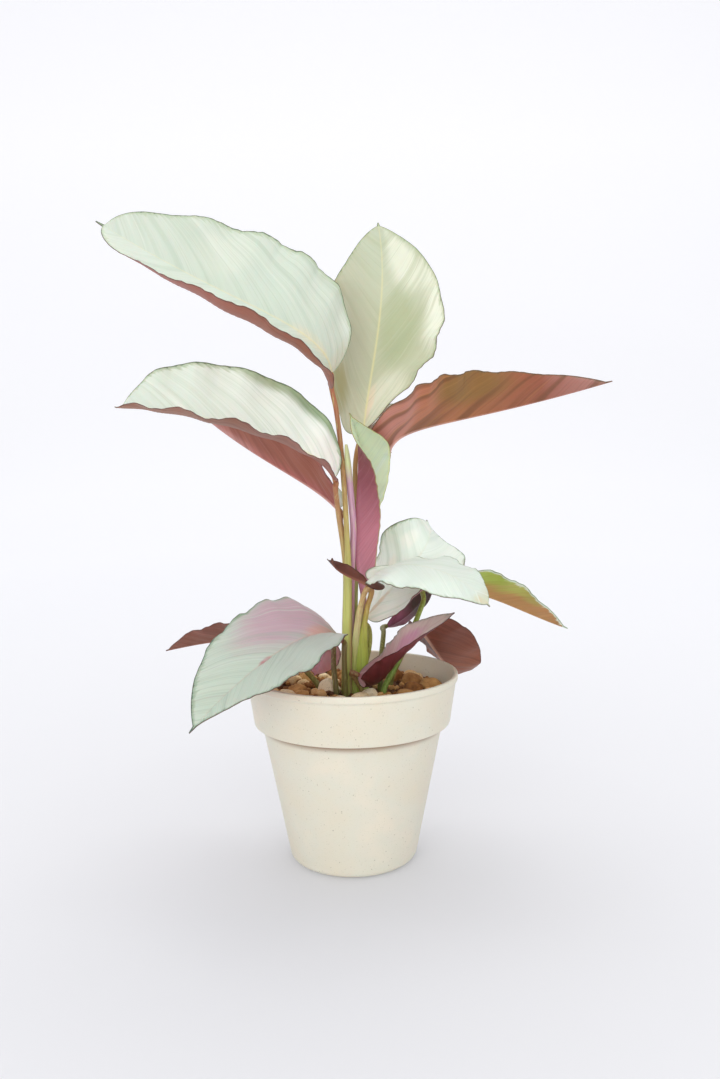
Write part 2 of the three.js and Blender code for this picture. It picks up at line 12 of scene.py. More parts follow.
import bpy
import numpy as np
from mathutils import Matrix, Vector


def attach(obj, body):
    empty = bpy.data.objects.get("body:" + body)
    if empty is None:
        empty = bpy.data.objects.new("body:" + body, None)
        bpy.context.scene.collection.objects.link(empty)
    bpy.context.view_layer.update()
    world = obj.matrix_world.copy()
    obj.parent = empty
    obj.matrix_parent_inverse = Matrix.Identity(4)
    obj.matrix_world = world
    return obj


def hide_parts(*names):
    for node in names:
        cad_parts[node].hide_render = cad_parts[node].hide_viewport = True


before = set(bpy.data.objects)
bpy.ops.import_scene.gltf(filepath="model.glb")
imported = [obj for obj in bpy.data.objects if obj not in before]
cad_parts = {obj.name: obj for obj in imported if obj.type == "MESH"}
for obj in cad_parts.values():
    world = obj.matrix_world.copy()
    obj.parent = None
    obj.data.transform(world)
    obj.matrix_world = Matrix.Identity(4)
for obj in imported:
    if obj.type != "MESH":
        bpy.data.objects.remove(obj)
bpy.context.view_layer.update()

MM = 0.001

# %% [markdown]
# ## Colours and nodes
#
# A colour picker shows sRGB values, but shaders reckon with linear light, so one function turns a hex
# value to linear. A second one adds a node, sets it up and plugs in its inputs, which keeps every
# material below short enough to read.

# %% Two small helpers for materials
def linear(hex_colour):
    """An sRGB hex colour as the linear RGBA that a shader socket takes."""
    shares = [int(hex_colour[i:i + 2], 16) / 255 for i in (1, 3, 5)]
    return tuple(c / 12.92 if c <= 0.04045 else ((c + 0.055) / 1.055) ** 2.4 for c in shares) + (1.0,)


def add_node(tree, kind, inputs=None, **settings):
    """A node of one kind, with its settings, and with a value or a link in each named input."""
    node = tree.nodes.new("ShaderNode" + kind)
    for name, value in settings.items():
        setattr(node, name, value)
    for name, value in (inputs or {}).items():
        if isinstance(value, bpy.types.NodeSocket):
            tree.links.new(value, node.inputs[name])
        else:
            node.inputs[name].default_value = value
    return node


def new_material(name):
    """An empty node material, and its tree."""
    material = bpy.data.materials.new(name)
    material.use_nodes = True
    material.node_tree.nodes.clear()
    return material, material.node_tree


def set_ramp(node, stops):
    """Puts (place, hex colour) stops on a colour ramp."""
    ramp = node.color_ramp
    while len(ramp.elements) < len(stops):
        ramp.elements.new(1.0)
    for element, (place, colour) in zip(ramp.elements, stops):
        element.position = place
        element.color = linear(colour)
    return node


print("silver green, linear:", [round(c, 3) for c in linear("#D5E3D5")])

# %% [markdown]
# ## Camera, floor and light
#
# The camera stands where the real one stood: about 39 cm in front of the plant, a little above the
# middle, looking slightly down through a wide lens. The floor turns up into a wall in one sweep, as a
# paper roll does in a studio, so that no horizon line shows. The light is soft and comes from all
# round, with one large panel in front and a smaller one above. The paper itself glows a little, because
# the real picture has a nearly white wall and hardly any hard shadow. Here the numbers are in metres: the
# paper grows paler up to the height PAPER_FADE, and its glow changes over GLOW_RUN of floor and wall.

# %% The camera
CAMERA_PLACE = Vector((0, -393.3, 176.9)) * MM
CAMERA_PITCH, CAMERA_YAW, CAMERA_ROLL = -0.0673, 0.0116, -0.0114

forward = Vector((
    math.sin(CAMERA_YAW) * math.cos(CAMERA_PITCH),
    math.cos(CAMERA_YAW) * math.cos(CAMERA_PITCH),
    math.sin(CAMERA_PITCH),
))
level_right = forward.cross(Vector((0, 0, 1))).normalized()
level_up = level_right.cross(forward)
right = level_right * math.cos(CAMERA_ROLL) + level_up * math.sin(CAMERA_ROLL)
up = level_up * math.cos(CAMERA_ROLL) - level_right * math.sin(CAMERA_ROLL)

lens = bpy.data.cameras.new("studio_camera")
lens.lens = 28.0
lens.sensor_width = 36.0
lens.clip_start = 0.01
camera = bpy.data.objects.new("studio_camera", lens)
turn = Matrix((right, up, -forward)).transposed().to_4x4()
camera.matrix_world = Matrix.Translation(CAMERA_PLACE) @ turn
bpy.context.scene.collection.objects.link(camera)
bpy.context.scene.camera = camera
print("camera height in mm:", round(camera.location.z / MM, 1))


# %% The floor that turns up into a wall
def sweep_floor(half_width, front, back, bend, height, steps=24):
    """A floor with a round bend up into a wall, as one strip."""
    profile = [(front, 0.0)]
    for step in range(steps + 1):
        angle = 0.5 * math.pi * step / steps
        profile.append((back + bend * math.sin(angle), bend * (1 - math.cos(angle))))
    profile.append((back + bend, height))
    points = [(x, y, z) for x in (-half_width, half_width) for y, z in profile]
    n = len(profile)
    faces = [(i, n + i, n + i + 1, i + 1) for i in range(n - 1)]
    mesh = bpy.data.meshes.new("studio_sweep")
    mesh.from_pydata(points, [], faces)
    mesh.shade_smooth()
    return bpy.data.objects.new("studio_sweep", mesh)


PAPER_FADE = 1.2
PAPER_SHADE = [(0, "#C6C7CB"), (1, "#DADADD")]
GLOW_RUN = 4.0
PAPER_GLOW = [
    (0, "#6C6C6F"), (0.05, "#828285"), (0.1, "#8A8A8D"), (0.17, "#939396"), (0.35, "#A7A7AA"),
    (0.47, "#ABABAE"), (0.6, "#A8A8AB"), (0.725, "#A7A7AA"), (1, "#9C9C9F"),
]
sweep = sweep_floor(half_width=4.0, front=-4.0, back=1.0, bend=1.2, height=4.0)
bpy.context.scene.collection.objects.link(sweep)
paper, tree = new_material("matte_studio_paper")
place = add_node(tree, "TexCoord").outputs["Object"]
axes = add_node(tree, "SeparateXYZ", {"Vector": place})
share = add_node(tree, "MapRange", {"Value": axes.outputs["Z"], "From Min": 0.0, "From Max": PAPER_FADE})
flat = add_node(tree, "CombineXYZ", {"X": axes.outputs["X"], "Y": axes.outputs["Y"]})
away = add_node(tree, "VectorMath", {0: flat.outputs[0]}, operation="LENGTH")
run = add_node(tree, "Math", {0: away.outputs["Value"], 1: axes.outputs["Z"]}, operation="ADD")
run_share = add_node(tree, "MapRange", {"Value": run.outputs[0], "From Max": GLOW_RUN})
shade = set_ramp(add_node(tree, "ValToRGB", {"Fac": share.outputs[0]}), PAPER_SHADE)
glow = set_ramp(add_node(tree, "ValToRGB", {"Fac": run_share.outputs[0]}), PAPER_GLOW)
shader = add_node(tree, "BsdfPrincipled", {
    "Base Color": shade.outputs["Color"], "Roughness": 0.9,
    "Emission Color": glow.outputs["Color"], "Emission Strength": 1.0,
})
add_node(tree, "OutputMaterial", {"Surface": shader.outputs[0]})
sweep.data.materials.append(paper)
print("strips of paper:", len(sweep.data.polygons))


# %% Soft light
def soft_panel(name, place, aim, size, power, colour):
    """A large square lamp that looks at a point."""
    lamp = bpy.data.lights.new(name, "AREA")
    lamp.size = size
    lamp.energy = power
    lamp.color = linear(colour)[:3]
    panel = bpy.data.objects.new(name, lamp)
    panel.location = place
    panel.rotation_euler = (Vector(aim) - Vector(place)).to_track_quat("-Z", "Y").to_euler()
    panel.visible_camera = False
    bpy.context.scene.collection.objects.link(panel)
    return panel


PLANT_MIDDLE = (0.0, 0.0, 0.17)
soft_panel("panel_above", (0.1, 0.45, 1.25), PLANT_MIDDLE, size=0.9, power=5.0, colour="#FFFDF8")
soft_panel("panel_in_front", (-0.15, -1.2, 0.35), PLANT_MIDDLE, size=1.5, power=10.0, colour="#FFFDFA")

sky = bpy.data.worlds.new("soft_room_light")
sky.use_nodes = True
background = sky.node_tree.nodes["Background"]
background.inputs["Color"].default_value = linear("#FFFFFF")
background.inputs["Strength"].default_value = 0.8
bpy.context.scene.world = sky
bpy.context.scene.view_settings.view_transform = "Standard"

# %% [markdown]
# ## The form of a leaf blade
#
# A calathea leaf is one thin sheet on a curved midrib. It could be sculpted, or a flat sheet could be
# bent with modifiers. A formula is better here, because the same few values then give the blade of the
# solid model and this finer one: a Bezier curve for the midrib, the way that the upper face looks at
# the base and the tip, and for each half its width, rise, curl and waves. Both halves are reckoned
# from the midrib outward, so a half can roll up without stretching.

# %% The midrib and the axes along it
def unit(vectors):
    """The same directions with the length 1."""
    return vectors / np.linalg.norm(vectors, axis=-1, keepdims=True)


def look_direction(azimuth, elevation):
    """Azimuth 0 looks to the front and 90 to +X; elevation 90 looks up."""
    turn, lift = math.radians(azimuth), math.radians(elevation)
    return np.array([
        math.cos(lift) * math.sin(turn),
        -math.cos(lift) * math.cos(turn),
        math.sin(lift),
    ])


def midrib_frame(leaf, along):
    """Places on the midrib, and there the directions to the tip, out of the upper face and to the right."""
    a, b, c, d = np.array(leaf["midrib"], float)
    s = np.clip(along, 0, 1)[:, None]
    past_tip = np.clip(along - 1, 0, None)[:, None]
    place = (1 - s) ** 3 * a + 3 * (1 - s) ** 2 * s * b + 3 * (1 - s) * s ** 2 * c + s ** 3 * d
    speed = 3 * (1 - s) ** 2 * (b - a) + 6 * (1 - s) * s * (c - b) + 3 * s ** 2 * (d - c)
    tip_ward = unit(speed)
    place = place + past_tip * leaf["tail"] * tip_ward
    base_look, tip_look = (look_direction(*look) for look in leaf["looks"])
    face = base_look * (1 - s) + tip_look * s
    face = unit(face - (face * tip_ward).sum(1, keepdims=True) * tip_ward)
    return place, tip_ward, face, np.cross(tip_ward, face)


print("toward the front and half up:", look_direction(0, 45).round(2))

# %% The outline, the roll and the waves of each half
BLADE_END_HALF_WIDTH = 0.8
TAIL_HALF_WIDTH = 0.3
LEAST_CURL = 0.01
WAVE_GATHER = 1.5


def outline_width(along, swell, taper):
    """1 where the blade is widest, and 0 at its base and its tip."""
    widest = swell / (swell + taper)
    peak = widest ** swell * (1 - widest) ** taper
    s = np.clip(along, 0, 1)
    return s ** swell * (1 - s) ** taper / peak


def blade_surface(leaf, along, across):
    """The blade's middle surface for rows along and columns across, with each point's measures in mm."""
    place, _, face, right = (v[:, None, :] for v in midrib_frame(leaf, along))
    t = across[None, :]
    tail_share = np.clip(along - 1, 0, 1)[:, None]
    out = np.zeros((len(along), len(across)))
    rise_height, reach, half_width = np.zeros_like(out), np.zeros_like(out), np.zeros_like(out)
    for side, half in ((0, across < 0), (1, across >= 0)):
        swelling = outline_width(along, *leaf["outline"][side])[:, None]
        width = np.hypot(leaf["half_widths"][side] * swelling, BLADE_END_HALF_WIDTH)
        width = width * (1 - tail_share) + TAIL_HALF_WIDTH * tail_share
        distance = np.abs(t[:, half]) * width
        rise = math.radians(leaf["rise"][side])
        bend = math.radians(leaf["curl"][side] or LEAST_CURL) / leaf["half_widths"][side]
        slope = rise + bend * distance
        height, count, start = leaf["waves"][side]
        wave = height * swelling * np.abs(t[:, half]) ** WAVE_GATHER
        wave = wave * np.sin(2 * math.pi * (count * along[:, None] + start))
        out[:, half] = (np.sin(slope) - math.sin(rise)) / bend - np.sin(slope) * wave
        rise_height[:, half] = (math.cos(rise) - np.cos(slope)) / bend + np.cos(slope) * wave
        reach[:, half] = distance
        half_width[:, half] = width
    points = place + right * (np.sign(t) * out)[..., None] + face * rise_height[..., None]
    return points, reach, half_width


print("width at a quarter and at half:", outline_width(np.array([0.25, 0.5]), 0.6, 0.6).round(2))

# %% [markdown]
# ## Veins, ribs and thickness
#
# From the midrib of a prayer plant's leaf, side veins run out close together, at about fifty degrees,
# and bend toward the tip. The blade puckers a little between the stronger ones. Here each point gets
# the place on the midrib that its vein starts from, in millimetres: the material draws its streaks
# along that measure, and the surface puckers by it. Between the veins the blade sags softly, and its
# margin ripples. The upper face is grooved over the midrib, and the lower face carries it as a rib that
# fades toward the tip. The rib's mark is how wide and how strong the material draws it, at the tip and at
# the base. Heights and lengths are in mm, and a narrow stretch of a blade gets less relief.

# %% The relief of a blade
VEIN_START_SLOPE = 1.0
VEIN_BEND = 0.025
FULL_RELIEF_HALF_WIDTH = 12.0
PUCKER_SPACING = 6.5
PUCKER_HEIGHT = 0.14
PUCKER_SKEW = 0.8
SAG_HEIGHT = 0.35
SAG_RUN = 9.0
SAG_SLANT = 3.0
RIPPLE_HEIGHT = 0.22
RIPPLE_LENGTHS = (6.7, 4.1)
SECOND_RIPPLE = 0.7
SECOND_RIPPLE_START = 2.3
RIPPLE_GATHER = 5
RIB_HALF_WIDTH = 0.75
RIB_DEPTH = 0.75
RIB_FADE = 0.8
RIB_MARK_HALF_WIDTHS = (0.45, 0.95)
RIB_MARK_STRENGTHS = (0.45, 1.0)
GROOVE_DEPTH = 0.18
THICKNESS = (0.50, 0.26)


def between(least, most, share):
    """The value at a share of the way from the one end to the other."""
    return least + (most - least) * share


def midrib_run(leaf, along):
    """How far each row is from the base, in mm along the midrib."""
    place, _, _, _ = midrib_frame(leaf, along)
    return np.concatenate([[0], np.cumsum(np.linalg.norm(np.diff(place, axis=0), axis=1))])[:, None]


def grid_normals(points):
    """The normal at each point of a grid of rows and columns."""
    ahead = np.gradient(points, axis=0)
    rightward = np.gradient(points, axis=1)
    return unit(np.cross(rightward, ahead))


def blade_faces(leaf, along, across):
    """The upper and the lower face as grids of points, with the fields that the finish reads."""
    points, reach, half_width = blade_surface(leaf, along, across)
    run = midrib_run(leaf, along)
    veins = run - VEIN_START_SLOPE * reach - VEIN_BEND * reach ** 2
    inner = np.clip(along, 0, 1)[:, None] + 0 * across[None, :]
    t = np.abs(across)[None, :] + 0 * inner
    room = np.clip(half_width / FULL_RELIEF_HALF_WIDTH, 0, 1)
    seed = leaf["seed"]
    pucker = PUCKER_HEIGHT * room * np.sin(math.pi * t ** PUCKER_SKEW)
    pucker = pucker * np.cos(2 * math.pi * veins / PUCKER_SPACING + seed)
    sag = SAG_HEIGHT * room * t * np.sin(veins / SAG_RUN + SAG_SLANT * t + seed)
    ripple = np.sin(2 * math.pi * run / RIPPLE_LENGTHS[0] + seed)
    second = np.sin(2 * math.pi * run / RIPPLE_LENGTHS[1] + SECOND_RIPPLE_START * seed)
    ripple = RIPPLE_HEIGHT * room * t ** RIPPLE_GATHER * (ripple + SECOND_RIPPLE * second)
    softness = (sag + ripple) * np.sin(math.pi * inner)
    normals = grid_normals(points)
    rib = np.exp(-(reach / RIB_HALF_WIDTH) ** 2)
    fade = (1 - inner) ** RIB_FADE
    middle = points + normals * (pucker + softness)[..., None]
    rib_mark = np.exp(-(reach / between(*RIB_MARK_HALF_WIDTHS, fade)) ** 2)
    half = 0.5 * between(*THICKNESS, t)
    upper = middle + normals * (half - GROOVE_DEPTH * rib * fade)[..., None]
    lower = middle - normals * (half + RIB_DEPTH * rib * fade)[..., None]
    fields = {
        "edge": half_width - reach,
        "rib": between(*RIB_MARK_STRENGTHS, fade) * rib_mark,
        "vein": veins,
        "reach": np.sign(across)[None, :] * reach,
        "along": inner,
        "across": across[None, :] + 0 * inner,
    }
    return upper, lower, fields


print("thickness in mm, at the midrib and at the margin:", THICKNESS)

# %% [markdown]
# ## From grids to a mesh
#
# The two faces become one closed mesh, joined by a narrow strip all round. The upper face is in the first
# material slot, and the lower face and the strip are in the second. Two UV maps carry the measures: one
# runs 0 to 1 along the blade and -1 to 1 across it, and the other one is in millimetres, along the midrib
# to the foot of the vein and out from the midrib.

# %% Build a closed sheet
LEAF_SHARP_ANGLE = 50


def closed_sheet(name, upper, lower, fields):
    """A closed mesh of an upper and a lower grid, with the fields stored for the materials."""
    rows, columns = upper.shape[:2]
    count = rows * columns
    vertices = np.concatenate([upper.reshape(-1, 3), lower.reshape(-1, 3)]) * MM
    place = np.arange(count).reshape(rows, columns)
    a, b, c, d = place[:-1, :-1], place[:-1, 1:], place[1:, 1:], place[1:, :-1]
    top = np.stack([a, b, c, d], -1).reshape(-1, 4)
    bottom = np.stack([a, d, c, b], -1).reshape(-1, 4) + count
    rim = np.concatenate([place[:, 0][::-1], place[0, 1:], place[1:, -1], place[-1, 1:-1][::-1]])
    ahead = np.roll(rim, -1)
    strip = np.stack([ahead, rim, rim + count, ahead + count], -1)
    faces = np.concatenate([top, bottom, strip])
    mesh = bpy.data.meshes.new(name)
    mesh.from_pydata(vertices.tolist(), [], faces.tolist())
    slots = np.concatenate([np.zeros(len(top), int), np.ones(len(bottom) + len(strip), int)])
    mesh.polygons.foreach_set("material_index", slots)
    corners = np.zeros(len(mesh.loops), int)
    mesh.loops.foreach_get("vertex_index", corners)
    corners = corners % count
    for uv_name, u, v in (("blade", "along", "across"), ("veins", "vein", "reach")):
        pair = np.stack([fields[u].reshape(-1)[corners], fields[v].reshape(-1)[corners]], -1)
        mesh.uv_layers.new(name=uv_name).data.foreach_set("uv", pair.ravel())
    for field in ("edge", "rib"):
        values = np.tile(fields[field].reshape(-1), 2)
        mesh.attributes.new(field, "FLOAT", "POINT").data.foreach_set("value", values)
    mesh.shade_smooth()
    mesh.set_sharp_from_angle(angle=math.radians(LEAF_SHARP_ANGLE))
    return mesh


print("leaf edges are sharp from degrees:", LEAF_SHARP_ANGLE)


# %% Put a piece in place
def place_piece(name, mesh, nodes, materials):
    """A piece that rides with the pot, takes its finish from a slot and stands for its nodes."""
    piece = bpy.data.objects.new(name, mesh)
    bpy.context.scene.collection.objects.link(piece)
    for material in materials:
        mesh.materials.append(material)
    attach(piece, "root")
    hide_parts(*nodes)
    return piece


print("nodes that wait for a piece:", len(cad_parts))

# %% [markdown]
# ## The finish of a leaf
#
# A living leaf is a wax-coated skin over wet cells. The upper skin of this kind is silvery, because air
# lies under it, with paler feathering along the veins, and a thin dark green line round the margin.
# The lower skin is wine red. Both are satin: a roughness near 0.45 and the IOR of plant wax, 1.45.
# Every streak is a noise that is drawn out along the veins. A layer of streaks has its spacing in mm, its
# colour, the noise values between which it fades in, and its strength. The first, broadest layer is partly
# the skin's own feathering and partly painted shade of the puckers between the veins. The real fine veins
# are about 0.5 mm apart. They are drawn about 1 mm apart, so that they show. A patch lies at a place along
# and across the blade, reaches so far each way, has a colour and a strength, and frays along the veins. A
# margin has a colour, a width in mm and a strength.

# %% The skin of a leaf
LEAF_IOR = 1.45
VEIN_RUN = 55.0
FEATHER_SPACING = 2.6
RAGGED_SPACING = 3.0
PATCH_FRAY = 0.45
MARGIN_CORE = 0.35
STREAK_BUMP = 0.12
SKIN_LIGHT_REACH = 1.5


def leaf_skin(name, finish, seed):
    """A leaf's skin: colours along the blade, soft patches, streaks along the veins, rib and margin."""
    material, tree = new_material(name)
    blade = add_node(tree, "UVMap", uv_map="blade").outputs["UV"]
    veins = add_node(tree, "UVMap", uv_map="veins").outputs["UV"]
    edge = add_node(tree, "Attribute", attribute_name="edge").outputs["Fac"]
    rib = add_node(tree, "Attribute", attribute_name="rib").outputs["Fac"]
    length_ways = add_node(tree, "SeparateXYZ", {"Vector": blade}).outputs["X"]
    ramp = set_ramp(add_node(tree, "ValToRGB", {"Fac": length_ways}), finish["along"])

    noises = []
    for number, spacing in enumerate([FEATHER_SPACING, *(streak[0] for streak in finish["streaks"])]):
        stretched = add_node(tree, "Mapping", {
            "Vector": veins, "Location": (seed + number, 3.0 * seed + number, 0),
            "Scale": (1 / spacing, 1 / VEIN_RUN, 1),
        })
        noise = add_node(tree, "TexNoise", {"Vector": stretched.outputs[0], "Scale": 1.0, "Detail": 1.5})
        noises.append(noise.outputs["Fac"])

    layers = []
    for along, across, reach_along, reach_across, patch_colour, amount in finish.get("patches", []):
        local = add_node(tree, "Mapping", {
            "Vector": blade, "Location": (along, across, 0), "Scale": (reach_along, reach_across, 1),
        }, vector_type="TEXTURE")
        ball = add_node(tree, "TexGradient", {"Vector": local.outputs[0]}, gradient_type="SPHERICAL")
        frayed = add_node(tree, "Math", {
            0: noises[0], 1: PATCH_FRAY, 2: ball.outputs["Fac"],
        }, operation="MULTIPLY_ADD")
        patch = add_node(tree, "MapRange", {
            "Value": frayed.outputs[0], "From Min": 0.26, "From Max": 0.85, "To Max": amount,
        }, interpolation_type="SMOOTHSTEP")
        layers.append((patch.outputs[0], patch_colour))

    for noise, (_, streak_colour, low, high, amount) in zip(noises[1:], finish["streaks"]):
        streak = add_node(tree, "MapRange", {
            "Value": noise, "From Min": low, "From Max": high, "To Max": amount,
        }, interpolation_type="SMOOTHSTEP")
        layers.append((streak.outputs[0], streak_colour))

    rib_colour, rib_amount = finish["rib"]
    rib_mark = add_node(tree, "MapRange", {
        "Value": rib, "From Min": 0.25, "From Max": 0.95, "To Max": rib_amount,
    })
    layers.append((rib_mark.outputs[0], rib_colour))

    along_edge = add_node(tree, "Mapping", {
        "Vector": veins, "Location": (2.0 * seed, seed, 0),
        "Scale": (1 / RAGGED_SPACING, 1 / RAGGED_SPACING, 1),
    })
    ragged = add_node(tree, "TexNoise", {"Vector": along_edge.outputs[0], "Scale": 1.0, "Detail": 2.0})
    narrowing = add_node(tree, "MapRange", {
        "Value": ragged.outputs["Fac"], "From Min": 0.3, "From Max": 0.7, "To Min": 0.5, "To Max": 1.7,
    })
    inward = add_node(tree, "Math", {0: edge, 1: narrowing.outputs[0]}, operation="MULTIPLY")
    for edge_colour, width, amount in finish["margin"]:
        band = add_node(tree, "MapRange", {
            "Value": inward.outputs[0], "From Min": MARGIN_CORE * width, "From Max": width,
            "To Min": amount, "To Max": 0.0,
        }, interpolation_type="SMOOTHSTEP")
        layers.append((band.outputs[0], edge_colour))

    colour = ramp.outputs["Color"]
    for mask, layer_colour in layers:
        colour = add_node(tree, "Mix", {
            "Factor": mask, "A": colour, "B": linear(layer_colour),
        }, data_type="RGBA").outputs["Result"]

    gloss = add_node(tree, "MapRange", {
        "Value": noises[1], "To Min": finish["roughness"] - 0.08, "To Max": finish["roughness"] + 0.1,
    })
    bump = add_node(tree, "Bump", {
        "Height": noises[-1], "Strength": 0.3, "Distance": STREAK_BUMP * MM,
    })
    shader = add_node(tree, "BsdfPrincipled", {
        "Base Color": colour, "Roughness": gloss.outputs[0], "Normal": bump.outputs[0],
        "IOR": LEAF_IOR, "Subsurface Weight": 0.12, "Subsurface Scale": SKIN_LIGHT_REACH * MM,
    })
    add_node(tree, "OutputMaterial", {"Surface": shader.outputs[0]})
    return material


print("veins are drawn in streaks of mm:", VEIN_RUN)

# %% [markdown]
# ## The leaves
#
# One entry of the table is one leaf: first the form, as in the solid model, and then the two finishes.
# The midrib is a Bezier curve of four points, and the looks are the azimuth and the elevation that the
# upper face looks to, at the base and at the tip. A pair of values is for the left and the right half:
# how wide it is, how steeply it rises from the midrib and how far it curls, in degrees, how its outline
# swells and tapers, and the height, the count and the start of its waves. The tail is how many mm the tip
# is drawn out, and the slots are the blade's and the stalk's. The old leaves are silver above and wine red
# below. The young ones keep a pink flush. On the backs that the light shines through, that light is
# painted into the colour as copper and olive.

# %% Finishes that most leaves share
SILVER = {
    "along": [(0.0, "#D6D8C8"), (0.2, "#CCD7CA"), (1.0, "#CBD7CA")],
    "streaks": [
        # The first layer is partly feathering and partly painted shade of the puckers
        (7.5, "#B6C6B4", 0.46, 0.70, 0.55),
        (4.0, "#E0E8DC", 0.55, 0.75, 0.38),
        (1.0, "#A9BAA6", 0.48, 0.76, 0.38),
    ],
    "rib": ("#E6DCAE", 0.7),
    "margin": [("#A6BA96", 3.0, 0.6), ("#4A6248", 0.8, 0.88)],
    "roughness": 0.45,
}
WINE = {
    "along": [(0.0, "#A8605A"), (0.5, "#955043"), (1.0, "#8A4B3C")],
    "streaks": [
        # The first layer is partly feathering and partly painted shade of the puckers
        (6.0, "#763E2E", 0.48, 0.70, 0.45),
        (3.0, "#BC7E6E", 0.56, 0.76, 0.28),
        (1.1, "#5E2E24", 0.48, 0.76, 0.45),
    ],
    "rib": ("#B97F6A", 0.7),
    "margin": [("#6E4A38", 1.0, 0.4), ("#4A2E26", 0.5, 0.7)],
    "roughness": 0.5,
}


def like(base, **changes):
    """A copy of a shared finish with some values changed."""
    return {**base, **changes}


print("roughness of the silver and of the wine skin:", SILVER["roughness"], WINE["roughness"])

